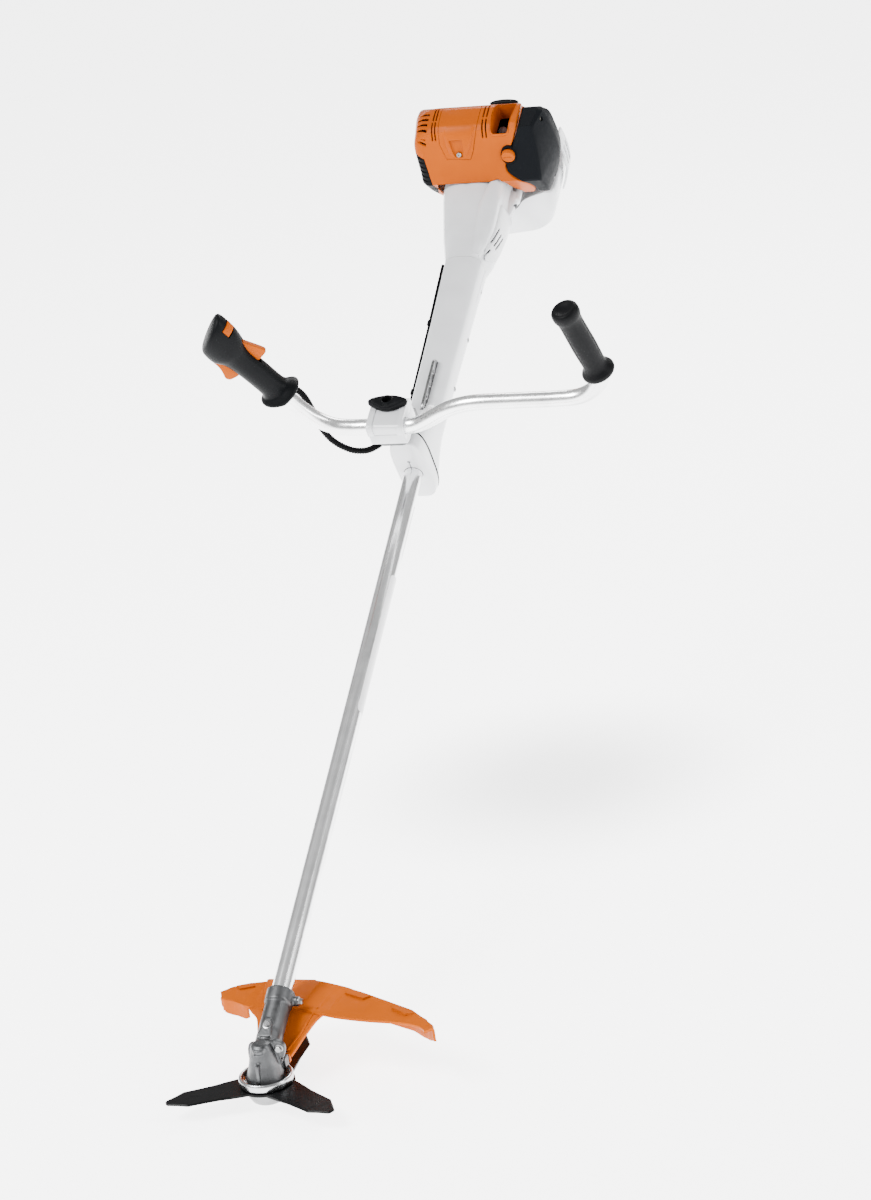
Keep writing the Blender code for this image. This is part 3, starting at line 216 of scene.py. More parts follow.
ORANGE = plastic("orange_shell", (0.35, 0.063, 0.0), 0.34, (1400, 0.012), edge=1.2, gleam=0.05)
ORANGE_GUARD = plastic("orange_guard", (0.42, 0.080, 0.0), 0.44, (800, 0.05), edge=1.2, gleam=0.04)
BLACK = plastic("black_moulding", (0.0030, 0.0034, 0.0040), 0.42, (1100, 0.07), edge=0.9, gleam=0.06)
BLACK_COVER = plastic("black_cover", (0.0048, 0.0055, 0.0066), 0.50, (1300, 0.05), edge=1.6, gleam=0.02)
WHITE = plastic("white_moulding", (0.62, 0.63, 0.645), 0.20, (1400, 0.010), coat=0.25, edge=1.2)
LABEL = plastic("blank_label_film", (0.84, 0.84, 0.85), 0.30, (800, 0.01), edge=0.1)
RUBBER = plastic("grip_rubber", (0.0026, 0.0028, 0.0033), 0.50, (1000, 0.10), edge=0.6, gleam=0.07)
HOSE = plastic("hose_black", (0.0022, 0.0024, 0.0027), 0.48, (900, 0.04), edge=0.2, gleam=0.05)
ALLOY = metal("drawn_alloy", (0.93, 0.935, 0.94), 0.24, (900, 0.012), (1.0, 0.02, 1.0))
BAR_ALLOY = metal("bar_alloy", (0.94, 0.945, 0.95), 0.26, (700, 0.010))
CAST = metal("cast_alloy", (0.095, 0.097, 0.100), 0.44, (420, 0.18), edge=1.2, spread=0.10)
STEEL = metal("machined_steel", (0.25, 0.252, 0.256), 0.30, (900, 0.02))
CHROME = metal("bright_rim", (0.50, 0.51, 0.52), 0.24, (500, 0.006), spread=0.03)
KNIFE = plastic("knife_paint", (0.0030, 0.0030, 0.0034), 0.32, (500, 0.06), edge=0.5, spread=0.08,
                gleam=0.08)
FELT = plastic("filter_felt", (0.40, 0.38, 0.31), 0.90, (1500, 0.40), edge=0.2)
BRONZE = metal("sintered_bronze", (0.45, 0.30, 0.13), 0.42, (1500, 0.05))
CERAMIC = plastic("glazed_ceramic", (0.70, 0.69, 0.65), 0.18, (300, 0.01), coat=0.6)
ROPE = plastic("starter_rope", (0.03, 0.03, 0.034), 0.80, (1200, 0.12), edge=0.1)
DARK = plastic("deep_shadow_black", (0.001, 0.001, 0.0013), 0.65, (900, 0.05), gleam=0.04)
BULB = clear_bulb()


# --- shape builders, in millimetres ----------------------------------------------------------
def bridge(bm, ring_a, ring_b):
    """Skin two rings of equal size, or a ring and a single pole."""
    if len(ring_a) == 1:
        ring_a, ring_b = ring_b, ring_a
    count = len(ring_a)
    for k in range(count):
        after = (k + 1) % count
        if len(ring_b) == 1:
            bm.faces.new((ring_a[k], ring_a[after], ring_b[0]))
        else:
            bm.faces.new((ring_a[k], ring_a[after], ring_b[after], ring_b[k]))


def loft(rings, closed=False):
    """Skin a run of point rings; a closed run joins its last ring to its first."""
    bm = bmesh.new()
    made = [[bm.verts.new(point) for point in ring] for ring in rings]
    for ring_a, ring_b in zip(made, made[1:]):
        bridge(bm, ring_a, ring_b)
    if closed:
        bridge(bm, made[-1], made[0])
        return bm
    for ring in (made[0], made[-1]):
        if len(ring) > 2:
            bm.faces.new(ring)
    return bm


def around(axis, centre, radius, angle, along):
    """A point at a radius and an angle about an axis, and some way along it."""
    side, rise = radius * cos(angle), radius * sin(angle)
    offset = {"X": (along, side, rise), "Y": (side, along, rise), "Z": (side, rise, along)}[axis]
    return Vector(centre) + Vector(offset)


def turned(profile, axis, centre=(0, 0, 0), segments=48):
    """Turn (radius, along) points; a profile that never meets the axis is closed on itself."""
    rings = []
    for radius, along in profile:
        count = segments if radius else 1
        rings.append([around(axis, centre, radius, tau * k / segments, along) for k in range(count)])
    return loft(rings, closed=profile[0][0] > 0)


def rod(axis, centre, radius, low, high, segments=32):
    return turned([(0, low), (radius, low), (radius, high), (0, high)], axis, centre, segments)


def prism(outline, axis, low, high):
    """Extrude an outline of (s, h) pairs along X, (x, h) along Y or (x, s) along Z."""
    def point(pair, along):
        a, b = pair
        return {"X": (along, a, b), "Y": (a, along, b), "Z": (a, b, along)}[axis]
    return loft([[point(pair, low) for pair in outline], [point(pair, high) for pair in outline]])


def box(x_range, s_range, h_range):
    (x0, x1), (s0, s1) = x_range, s_range
    return prism([(x0, s0), (x1, s0), (x1, s1), (x0, s1)], "Z", *h_range)


def rounded(corners, steps=6, fill=0):
    """Round a polygon of (a, b, radius) corners; fill adds points along each straight stretch."""
    arcs = []
    for k, (a, b, radius) in enumerate(corners):
        corner = Vector((a, b))
        before = Vector(corners[k - 1][:2]) - corner
        after = Vector(corners[(k + 1) % len(corners)][:2]) - corner
        reach = min(radius, 0.48 * before.length, 0.48 * after.length)
        before, after = before.normalized() * reach, after.normalized() * reach
        ways = [i / steps for i in range(steps + 1)] if radius else [0.0]
        arcs.append([corner + before * (1 - t) ** 2 + after * t ** 2 for t in ways])
    outline = []
    for k, arc in enumerate(arcs):
        outline += arc
        ahead = arcs[(k + 1) % len(arcs)][0]
        outline += [arc[-1].lerp(ahead, (i + 1) / (fill + 1)) for i in range(fill)]
    return [tuple(point) for point in outline]


def grown(outline, by):
    """A clockwise polygon with each corner pushed out from its two edges."""
    result = []
    for k, (a, b) in enumerate(outline):
        corner = Vector((a, b))
        before = (corner - Vector(outline[k - 1])).normalized()
        after = (Vector(outline[(k + 1) % len(outline)]) - corner).normalized()
        normal = Vector((before.y + after.y, -before.x - after.x)).normalized()
        result.append(tuple(corner - normal * by))
    return result


def superellipse(x_range, h_range, power, count=72):
    """A rectangle's outline with its corners rounded the more, the lower the power."""
    (x0, x1), (h0, h1) = x_range, h_range
    points = []
    for k in range(count):
        c, s = cos(tau * (k + 0.5) / count), sin(tau * (k + 0.5) / count)
        stretch = (abs(c) ** power + abs(s) ** power) ** (-1 / power)
        x = (x0 + x1) / 2 + (x1 - x0) / 2 * c * stretch
        points.append((x, (h0 + h1) / 2 + (h1 - h0) / 2 * s * stretch))
    return points


def standing(outline, s):
    """An (x, h) outline as a ring at a station along the tube."""
    return [(x, s, h) for x, h in outline]


def level(outline, h):
    """An (x, s) outline as a ring at one height over the tube."""
    return [(x, s, h) for x, s in outline]


def curve_point(a, b, c, d, t):
    """Catmull-Rom between b and c."""
    return (b * 2 + (c - a) * t + (a * 2 - b * 5 + c * 4 - d) * t ** 2 + (b * 3 - a - c * 3 + d) * t ** 3) / 2


def dense(rows, steps):
    """Rows of numbers with more rows between them on smooth curves, even in the first number."""
    padded = [rows[0]] + list(rows) + [rows[-1]]
    result = []
    for a, b, c, d in zip(padded, padded[1:], padded[2:], padded[3:]):
        for i in range(steps):
            t = i / steps
            row = [curve_point(*four, t) for four in zip(a, b, c, d)]
            result.append((b[0] + (c[0] - b[0]) * t, *row[1:]))
    return result + [rows[-1]]


def smooth_route(points, step):
    """A smooth curve through given points, read at an even step."""
    nodes = [Vector(p) for p in points]
    nodes = [nodes[0] * 2 - nodes[1]] + nodes + [nodes[-1] * 2 - nodes[-2]]
    fine = []
    for four in zip(nodes, nodes[1:], nodes[2:], nodes[3:]):
        fine += [curve_point(*four, i / 24) for i in range(24)]
    fine.append(nodes[-2])
    lengths = [0.0]
    for a, b in zip(fine, fine[1:]):
        lengths.append(lengths[-1] + (b - a).length)
    count = max(2, round(lengths[-1] / step))
    route, k = [], 0
    for i in range(count + 1):
        target = lengths[-1] * i / count
        while k < len(fine) - 2 and lengths[k + 1] < target:
            k += 1
        share = (target - lengths[k]) / (lengths[k + 1] - lengths[k])
        route.append(fine[k].lerp(fine[k + 1], min(share, 1.0)))
    return route


def swept(route, radius, bore=0.0, segments=24):
    """A round tube along a route; radius may be a list, one for each point."""
    sizes = radius if isinstance(radius, list) else [radius] * len(route)
    before, after = route[:1] + route[:-1], route[1:] + route[-1:]
    ways = [(b - a).normalized() for a, b in zip(before, after)]
    side = ways[0].orthogonal().normalized()
    outer, inner = [], []
    for centre, way, size in zip(route, ways, sizes):
        side = (side - way * side.dot(way)).normalized()
        rise = way.cross(side)
        spokes = [side * cos(tau * k / segments) + rise * sin(tau * k / segments) for k in range(segments)]
        outer.append([centre + spoke * size for spoke in spokes])
        inner.append([centre + spoke * bore for spoke in spokes])
    return loft(outer + inner[::-1], closed=True) if bore else loft(outer)


def merge(*shapes):
    """Several separate closed shapes as one."""
    whole = bmesh.new()
    for bm in shapes:
        mesh = bpy.data.meshes.new("shape")
        bm.to_mesh(mesh)
        bm.free()
        whole.from_mesh(mesh)
        bpy.data.meshes.remove(mesh)
    return whole


# --- pieces ----------------------------------------------------------------------------------
SLOT_OF = {part["node"]: part["material_slot"] for part in frame["record"]["subparts"]}
DRAWN_AS = {}                   # for each piece, its frame and the angle its edges turn sharp at


def added(name, data):
    obj = bpy.data.objects.new(name, data)
    bpy.context.scene.collection.objects.link(obj)
    return obj


def dropped(obj):
    mesh = obj.data
    bpy.data.objects.remove(obj)
    bpy.data.meshes.remove(mesh)


def mesh_of(name, bm, place, sharp):
    bm.transform(place)
    bmesh.ops.remove_doubles(bm, verts=bm.verts, dist=1e-7)
    bmesh.ops.recalc_face_normals(bm, faces=bm.faces)
    mesh = bpy.data.meshes.new(name)
    bm.to_mesh(mesh)
    bm.free()
    smooth(mesh, sharp)
    return mesh


def smooth(mesh, sharp):
    """Smooth shading, but for edges that turn more than the sharp angle."""
    mesh.shade_smooth()
    mesh.set_sharp_from_angle(angle=radians(sharp))


def piece(name, bm, material, nodes=(), body="frame", place=SHAFT, sharp=35):
    """A shown piece that rides on a body and may stand for CAD nodes."""
    obj = added(name, mesh_of(name, bm, place, sharp))
    DRAWN_AS[obj.name] = (place, sharp)
    obj.data.materials.append(material)
    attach(obj, body)
    if nodes:
        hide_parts(*nodes)
    return obj


def settle(obj, sharp=None):
    """Turn a piece's modifiers into its own mesh."""
    bpy.context.view_layer.update()
    graph = bpy.context.evaluated_depsgraph_get()
    mesh = bpy.data.meshes.new_from_object(obj.evaluated_get(graph))
    old = obj.data
    obj.modifiers.clear()
    obj.data = mesh
    bpy.data.meshes.remove(old)
    smooth(mesh, sharp or DRAWN_AS[obj.name][1])


def carve(obj, bm, place=None, operation="DIFFERENCE"):
    """Cut a closed shape, drawn in the piece's own frame or another, from a piece."""
    tool = added("tool", mesh_of("tool", bm, place or DRAWN_AS[obj.name][0], 180))
    modifier = obj.modifiers.new("carve", "BOOLEAN")
    modifier.operation = operation
    modifier.solver = "EXACT"
    modifier.object = tool
    settle(obj)
    dropped(tool)


def fuse(obj, bm, place=None):
    carve(obj, bm, place, "UNION")


def keep(obj, bm):
    """Cut away all of a piece that lies outside a closed shape."""
    carve(obj, bm, operation="INTERSECT")


def soften(obj, width, segments=3, angle=32):
    """Round a piece's edges with real geometry."""
    modifier = obj.modifiers.new("soften", "BEVEL")
    modifier.width = width * 0.001
    modifier.segments = segments
    modifier.limit_method = "ANGLE"
    modifier.angle_limit = radians(angle)
    modifier.harden_normals = True
    return obj


def cast_smooth(obj, voxel, rounds, share):
    """Blend a piece's joined lumps into one another, as a casting or moulding does."""
    remesh = obj.modifiers.new("blend", "REMESH")
    remesh.mode = "VOXEL"
    remesh.voxel_size = voxel * 0.001
    relax = obj.modifiers.new("relax", "SMOOTH")
    relax.factor = 0.5
    relax.iterations = rounds
    thin = obj.modifiers.new("thin", "DECIMATE")
    thin.ratio = share
    settle(obj)


def turned_about(bm, axis, angle, centre=(0, 0, 0)):
    """A shape turned about an axis through a point."""
    there, back = Matrix.Translation(centre), Matrix.Translation(-Vector(centre))
    bm.transform(there @ Matrix.Rotation(angle, 4, axis) @ back)
    return bm


def screw_head(axis, centre, radius, height, sense=1):
    """A round head with a rounded rim and a hexagon socket, standing on centre along an axis."""
    rim = radius * 0.16
    profile = [(0, height * 0.35), (radius * 0.5, height * 0.35), (radius * 0.5, height),
               (radius - rim, height), (radius, height - rim), (radius, 0), (0, 0)]
    rings = []
    for size, along in profile:
        count = 36 if size else 1
        ring = []
        for k in range(count):
            angle = tau * k / count
            flat = size
            if size == radius * 0.5:
                flat = size * cos(pi / 6) / cos((angle % (tau / 6)) - pi / 6)
            ring.append(around(axis, centre, flat, angle, sense * along))
        rings.append(ring)
    return loft(rings)


def hex_head(axis, centre, radius, height, sense=1):
    """A hexagon head on its washer flange."""
    flange = [(0, 0), (1.35, 0), (1.35, 0.18), (1, 0.3), (0, 0.3)]
    block = [(0, 0.2), (1, 0.2), (1, 0.86), (0.86, 1), (0, 1)]
    shapes = []
    for profile, sides in ((flange, 36), (block, 6)):
        sized = [(radius * size, sense * height * along) for size, along in profile]
        shapes.append(turned(sized, axis, centre, sides))
    return merge(*shapes)


# --- gear head -------------------------------------------------------------------------------
COLLAR_SCREW = (0, NECK_END - 9.5, -4)
GREASE_SCREW = (0, 42, 0)
GUARD_SCREW = (15, 0, -8.5)


def gear_head():
    """One casting: a bell over the gears, a neck with its clamping collar, a rib, a fin and an ear."""
    bell = [(0, 26.6), (7, 26.4), (10.6, 25.4), (12.6, 23.2), (13.8, 19), (15.8, 11), (18.2, 0),
            (21.4, -11), (23.6, -17), (24.4, -19.6), (24.4, -21.4), (0, -21.4)]
    head = piece("gear_head_casting", turned(bell, "Z"), CAST, ["gear_housing"], "frame", HEAD, 40)
    neck = [(0, 2), (15.4, 2), (16.4, 24), (16.4, 36), (15.9, 42), (16.1, 60), (16.2, 80), (17.8, 82.4),
            (17.8, NECK_END), (0, NECK_END)]
    fuse(head, turned(neck, "Y"), SHAFT)
    fuse(head, prism(rounded([(-9, 25, 4), (-4, 52, 3), (4, 52, 3), (9, 25, 4)]), "Z", 0, 17.6), SHAFT)
    fuse(head, box((-15, 23), (12, 24.6), (-14.2, -1.5)))
    fuse(head, rod("X", COLLAR_SCREW, 6.2, 8, 23.6), SHAFT)
    fuse(head, rod("Z", GREASE_SCREW, 6.2, 8, 16.8), SHAFT)
    ear = rounded([(7, 23, 2), (17, 28, 5), (27, 24.5, 5), (29, 15, 4), (24, 2, 4), (18, -10, 3),
                   (7, -10, 2)])
    fuse(head, prism(ear, "Y", 3, 9.6))
    fin = rounded([(-7, 24, 2), (-17, 23.4, 5), (-20, 14, 4), (-20, -4, 4), (-7, -8, 2)])
    fuse(head, prism(fin, "Y", 3.5, 8))
    fuse(head, box((-2.4, 2.4), (-25.2, -10), (-20, 6)))
    cap = turned([(0, 25.2), (7.6, 25.2), (8.8, 24.2), (9.4, 20), (0, 20)], "Z", (0, -2, 0))
    fuse(head, turned_about(cap, "X", radians(14)))
    cast_smooth(head, 0.75, 5, 0.45)
    chamber = [(0, 19), (8, 18), (12, 8), (16.6, -2), (17, -10.7), (18.1, -10.7), (18.1, -25), (0, -25)]
    carve(head, turned(chamber, "Z"))
    carve(head, rod("Y", (0, 0, 0), TUBE_R + 0.25, 5, 130, 64), SHAFT)
    carve(head, rod("Y", GUARD_SCREW, 2.5, 20, 30))
    carve(head, merge(rod("Z", GREASE_SCREW, 3.5, 9, 30), rod("X", COLLAR_SCREW, 2.7, 14, 40)), SHAFT)
    carve(head, box((14.2, 30), (84, 97), (-4.6, -3.2)), SHAFT)
    carve(head, rod("Y", (23, 0, 4), 1.8, 0, 12))
    for name, node, axis, centre, head_size, foot, stem_size, low, high, place in (
            ("grease_screw", ["grease_plug"], "Z", GREASE_SCREW, (4.4, 4.2), 16.9, 3.0, 13, 17.2, SHAFT),
            ("collar_screw", ["neck_clamp_screw"], "X", COLLAR_SCREW, (4.0, 5.2), 23.9, 2.2, 18, 24, SHAFT),
            ("guard_fixing_screw", ["guard_screw"], "Y", GUARD_SCREW, (3.9, 4.6), 30.5, 2.0, 21, 31, HEAD),
            ("ear_screw", [], "Y", (21.5, 0, 17), (4.3, 4.6, -1), 3.0, 2.6, -0.5, 9, HEAD)):
        screw = hex_head(axis, around(axis, centre, 0, 0, foot), *head_size)
        piece(name, merge(screw, rod(axis, centre, stem_size, low, high)), STEEL, node, place=place)


def knife():
    """Three pointed teeth with a narrow bevel along both flanks, between the plates that hold them."""
    low, high = KNIFE_Z
    middle = (low + high) / 2
    flank = [(33, 22.5), (41, 21.6), (48, 20.9), (62, 19.8), (80, 19.1), (100, 18.6), (113, 11.2),
             (KNIFE_R - 0.8, 4.4), (KNIFE_R, 2.4)]
    root = atan2(22.5, 33)
    outline = []
    for tooth in range(3):
        way = KNIFE_TURN + tau * tooth / 3
        outline += [(along, side, way) for along, side in [(a, -b) for a, b in flank] + flank[::-1]]
        outline += [(35, 0, way + root + (tau / 3 - 2 * root) * k / 8) for k in range(1, 8)]

    def ring(height, grind):
        points = []
        for along, side, way in outline:
            pull = grind if abs(side) > 5 and along > 50 else 0
            side = side - pull * (1 if side > 0 else -1)
            along = along - (grind if along > 110 else 0)
            points.append((along * cos(way) - side * sin(way), along * sin(way) + side * cos(way), height))
        return points

    layers = [ring(low, 1.2), ring(middle - 0.5, 0), ring(middle + 0.5, 0), ring(high, 1.2)]
    blade = piece("three_tooth_knife", loft(layers), KNIFE, ["brush_knife"], "cutter", HEAD, sharp=12)
    carve(blade, rod("Z", (0, 0, 0), 12.75, -35, -20, 48))
    plate = [(7.5, -21.9), (12, -21.9), (28.4, -23.2), (28.8, -17.4), (29.4, -16.3), (30.4, -15.7),
             (31.6, -15.6), (32.8, -16.2), (33.5, -17.4), (33.8, -19.5), (33.6, -23.8), (32.9, -25.6),
             (31.0, -26.6), (12.4, -26.7), (12.4, -29.7), (7.5, -29.7)]
    piece("thrust_rim", turned(plate, "Z", segments=96), CHROME, ["thrust_plate"], "cutter", HEAD)
    rider = [(5.3, -30.3), (24.4, -30.3), (25.6, -30.9), (26.2, -32.4), (25.4, -39), (24.6, -41.4),
             (22.2, -45.6), (20.8, -48), (19.4, -49.2), (18, RIDER_FACE), (12.6, RIDER_FACE),
             (12.6, -37.5), (5.3, -37.5)]
    piece("rider_cup", turned(rider, "Z", segments=96), STEEL, ["rider_plate"], "cutter", HEAD)
    nut = [(0, -37.9), (9.0, -37.9), (9.8, -38.6), (9.8, -47.2), (8.8, -48), (0, -48)]
    nut = piece("knife_nut", turned(nut, "Z", segments=6), STEEL, ["blade_nut"], "cutter", HEAD)
    carve(nut, rod("Z", (0, 0, 0), 5.45, -60, -30))
    shaft = [(0, -4.5), (6, -4.5), (6, -10.7), (7.2, -10.7), (7.2, -30), (5, -30)]
    for k in range(15):
        turn = -31.2 - k * 1.25
        shaft += [(4.55, turn), (5, turn - 0.6)]
    shaft += [(4.6, -50.4), (4.0, -51), (0, -51)]
    piece("threaded_spindle", turned(shaft, "Z"), STEEL, ["output_shaft"], "cutter", HEAD, sharp=30)


def guard_shell():
    """Fan-shaped deflector: a level top, a rolled rim, a deep skirt and a stepped web to the head."""
    stations = [                # outer edge (x, y), inner edge (x, y) and its drop, bottom of the skirt
        (-96, 124, -89, 107, 0, 4), (-84, 137, -78, 104, 0, 0), (-66, 147, -63, 98, 1, -1),
        (-45, 153, -49, 90, 1, -2), (-17, 157, -20, 87, 2, -2), (20, 158, 15, 87, 2, -2),
        (50, 148, 45, 80, 3, -2), (77, 135, 76, 72, 4, -2), (126, 109, 116, 65, 4, -1),
        (168, 85, 158, 61, 4, 1), (194, 61, 184, 51, 3, 3), (206, 47, 194, 42, 3, 8),
        (210, 38, 198, 35, 2, 12)]
    top, thick = 30.0, 3.0
    rings = []
    for xo, yo, xi, yi, drop, low in dense(stations, 4):
        outer, inner = Vector((xo, yo)), Vector((xi, yi))
        inward = (inner - outer).normalized()

        def at(depth, height):
            return (*(outer + inward * depth), height)

        rings.append([at(0.6, top - 1.2), at(0, top - 3), at(0, low + 2.2), at(-0.6, low + 1.2),
                      at(-0.4, low + 0.3), at(1, low), at(2.4, low + 0.2), at(thick, low + 1.2),
                      at(thick, low + 3), at(thick, top - 4.4), at(thick + 1.4, top - 3),
                      (*(inner - inward * 2), top - drop - thick), (*inner, top - drop - thick - 1.4),
                      (*(inner + inward * 0.8), top - drop - thick),
                      (*(inner + inward * 0.6), top - drop - 0.6), (*(inner - inward * 0.4), top - drop),
                      at(6.4, top - 0.2), at(5.2, top + 0.6), at(2.2, top + 0.6), at(1.2, top)])
    shell = piece("guard_deflector", loft(rings), ORANGE_GUARD, ["guard"], "frame", HEAD, sharp=42)
    web = [                     # half width left, half width right, y, z of the top surface
        (97, -49, 62, 27.6), (88, -46, 58, 26.6), (76, -33, 46, 20), (58, -27, 36, 9.2), (40, -21, 29, 0),
        (28.4, -17, 25, -5.0)]
    panel = []
    for y, left, right, z in dense(web, 4):
        panel.append([(left + 1, y, z), (right - 1, y, z), (right, y, z - 1), (right, y + 1.4, z - 4.4),
                      (right - 3, y + 1.4, z - 3), (left + 3, y + 1.4, z - 3), (left, y + 1.4, z - 4.4),
                      (left, y, z - 1)])
    fuse(shell, loft(panel))
    for x0, x1 in ((-12, -26), (4, 4.6), (19, 44)):
        rib = []
        for y, spread, z in dense([(34, 0, -2.6), (58, 0.45, 9.2), (76, 0.72, 20), (90, 1, 27.2)], 4):
            x = x0 + (x1 - x0) * spread
            rib.append([(x - 1.6, y, z - 1), (x - 0.9, y - 0.8, z + 1.7), (x + 0.9, y - 0.8, z + 1.7),
                        (x + 1.6, y, z - 1)])
        fuse(shell, loft(rib))
    tab = [(-91, 109, 17), (-86, 105.5, 10), (-78, 103, 8), (-66, 98.5, 8), (-54, 92, 8), (-48, 89.5, 11)]
    hang = []
    for x, y, low in dense(tab, 3):
        hang.append([(x, y + 3.2, 28.4), (x, y + 3.2, low + 0.6), (x, y + 2, low), (x, y + 0.6, low + 0.6),
                     (x, y, 28.4)])
    fuse(shell, loft(hang))
    arch = [(84, -28, 9, 28.6), (110, -36, 14, 30), (150, -45, 24, 30.2), (156.6, -45, 24, 28)]
    raised = []
    for y, left, right, z in dense(arch, 3):
        raised.append([(left, y, z - 2), (left + 3, y, z + 3.4), (right - 5, y, z + 3.4),
                       (right + 2, y, z - 2)])
    fuse(shell, loft(raised))
    for far, near in (((-60, 143), (-77, 135)), ((76, 128), (104, 114)), ((150, 87), (172, 72))):
        far, near = Vector(far), Vector(near)
        inward = (Vector((4.6, 50)) - (far + near) / 2).normalized() * 9
        pad = []
        for h, edge in ((top - 1.5, -0.4), (top + 1.9, -0.2)):
            corners = (far + inward * edge, near + inward * edge, near + inward, far + inward)
            pad.append([(*corner, h) for corner in corners])
        fuse(shell, loft(pad))
    fuse(shell, box((-15.6, 23.6), (24.9, 30), (-14, -3.5)))
    carve(shell, rod("Y", GUARD_SCREW, 2.5, 20, 40))
    carve(shell, rod("Y", GUARD_SCREW, 6.0, 30.1, 70))
    carve(shell, rod("Y", (0, 0, 0), 18.8, 5, 130, 64), SHAFT)


# --- drive tube and casing -------------------------------------------------------------------
def label_wrap(name, low, high, left, right):
    """A blank white film curved round the tube; its corners are cut round."""
    radius = TUBE_R + 0.05
    rings = []
    for s, inset in ((low, 4), (low + 0.8, 1.8), (low + 4, 0), (high - 4, 0), (high - 0.8, 1.8), (high, 4)):
        start, end = (left + inset) / radius, (right - inset) / radius
        arc = [start + (end - start) * k / 24 for k in range(25)]
        outer = [((radius + 0.18) * cos(a), s, (radius + 0.18) * sin(a)) for a in arc]
        rings.append(outer + [(radius * cos(a), s, radius * sin(a)) for a in arc[::-1]])
    return piece(name, loft(rings), LABEL)


def tube():
    """The drawn alloy tube, in short rings so that its shading stays even."""
    end = 1478.0
    profile = [(11.2, 62.4), (11.6, 62), (12.3, 62), (TUBE_R, 62.4)]
    profile += [(TUBE_R, 62 + (end - 62) * k / 24) for k in range(1, 24)]
    profile += [(TUBE_R, end - 0.4), (12.3, end), (11.6, end), (11.2, end - 0.4)]
    piece("drive_tube_alloy", turned(profile, "Y", segments=96), ALLOY, ["drive_tube"])


CASING_ROWS = [                 # s, half width, underside, top
    (CASING_FRONT, 24, -57, 62), (985, 24, -52, 60), (1004, 24.3, -39, 53), (1030, 24.3, -28.5, 41),
    (1056, 24.4, -25.5, 29.5), (1080, 24.6, -25, 28), (1140, 25.2, -25.8, 27.4), (1200, 26.2, -27, 27),
    (1272, 27.4, -28.4, 27.8), (CASING_BACK, 29, -30, 29)]


def hull_rings(rows, steps, inset):
    """Squarish rings down a run of (s, left, right, underside, top) rows."""
    rings = []
    for s, left, right, low, high in dense(rows, steps):
        across, rise = (left + inset, right - inset), (low + inset, high - inset)
        rings.append(standing(superellipse(across, rise, 3.0), s))
    return rings


def casing_outlines(inset):
    return hull_rings([(s, -half, half, low, high) for s, half, low, high in CASING_ROWS], 5, inset)


def casing():
    """The white moulding over the tube, split along its sides, with its separate nose."""
    outside, inside = casing_outlines(0), casing_outlines(2.3)
    lip = [[(x * 0.985, s - 0.8, h * 0.985) for x, s, h in outside[0]]]
    shell = piece("shaft_cover", loft(lip + outside + inside[::-1], closed=True), WHITE,
                  ["shaft_casing"], sharp=50)
    carve(shell, box((-11.6, 11.6), (982.4, 1009.6), (40, 75)))
    carve(shell, box((RAIL_X - 2.4, RAIL_X + 2.4), (RAIL_S - 50.4, RAIL_S + 50.4), (21, 50)))
    carve(shell, rod("X", (0, 987, 37), 5.4, -30, -15))
    seam_h = -1.6
    for side in (-1, 1):
        groove = box((23.6 * side, 40 * side), (CASING_FRONT - 5, CASING_BACK + 5),
                     (seam_h - SEAM / 2, seam_h + SEAM / 2))
        for v in groove.verts:
            if abs(v.co.x) < 30:
                v.co.x = side * (24.2 + (v.co.y - CASING_FRONT) / (CASING_BACK - CASING_FRONT) * 4)
        carve(shell, groove)
    screws = []
    first = 1120
    for s in (first, 1215, 1310):
        half = 25.3 + (s - first) * 0.014
        screws.append(screw_head("X", (half - 1.2, s, -10), 3.6, 1.4))
    piece("shaft_cover_screws", merge(*screws), STEEL)
    nose_rows = [(953.5, -2.5, 1.0), (954.2, -1.0, 1.0), (955.6, -0.25, 1.0), (958, 0.0, 0.96),
                 (966, 0.2, 0.6), (972, 0.1, 0.2), (CASING_FRONT - 0.5, 0, 0)]
    rings = []
    for s, grow, tilt in nose_rows:
        outline = superellipse((-24 - grow, 24 + grow), (-57 - grow, 62 + grow), 3.4)
        rings.append([(x, s + tilt * 5 * (5 - h) / 60, h + 3 * tilt) for x, h in outline])
    nose = piece("shaft_cover_nose", loft(rings), WHITE, ["casing_nose"], sharp=50)
    # A thin black ring of painted shade marks the seam where the nose meets the casing.
    seam = []
    for half, low, high, s in ((22, -55, 60, CASING_FRONT - 1.6), (24.8, -58, 63, CASING_FRONT - 1.6),
                               (24.8, -58, 63, CASING_FRONT + 0.9), (22, -55, 60, CASING_FRONT + 0.9)):
        seam.append(standing(superellipse((-half, half), (low, high), 3.2), s))
    piece("nose_seam_painted_shade", loft(seam, closed=True), DARK)
    hollow = superellipse((-21.5, 21.5), (-54, 60), 3.4)
    carve(nose, prism(hollow, "Y", 966, 990))
    carve(nose, rod("Y", (0, 0, 0), TUBE_R + 0.6, 930, 990, 64))
    carve(nose, box((-0.8, 0.8), (930, 962), (12, 23.5)))
    carve(nose, rod("Y", (0, 0, 25), 2.4, 930, 962))
    side = rounded([(RAIL_S - 50, 21.5, 0), (RAIL_S - 50, RAIL_H, 5), (RAIL_S - 43, RAIL_H + 6.2, 6),
                    (RAIL_S + 43, RAIL_H + 6.2, 6), (RAIL_S + 50, RAIL_H, 5), (RAIL_S + 50, 21.5, 0)])
    rail = piece("hook_rail", prism(side, "X", RAIL_X - 2, RAIL_X + 2), STEEL, ["carry_rail"])
    carve(rail, merge(*[rod("X", (RAIL_X, RAIL_S + k * 24, RAIL_H), 3.6, -5, 5, 48) for k in (-1, 0, 1)]))
    settle(soften(rail, 0.5, 3, 40))


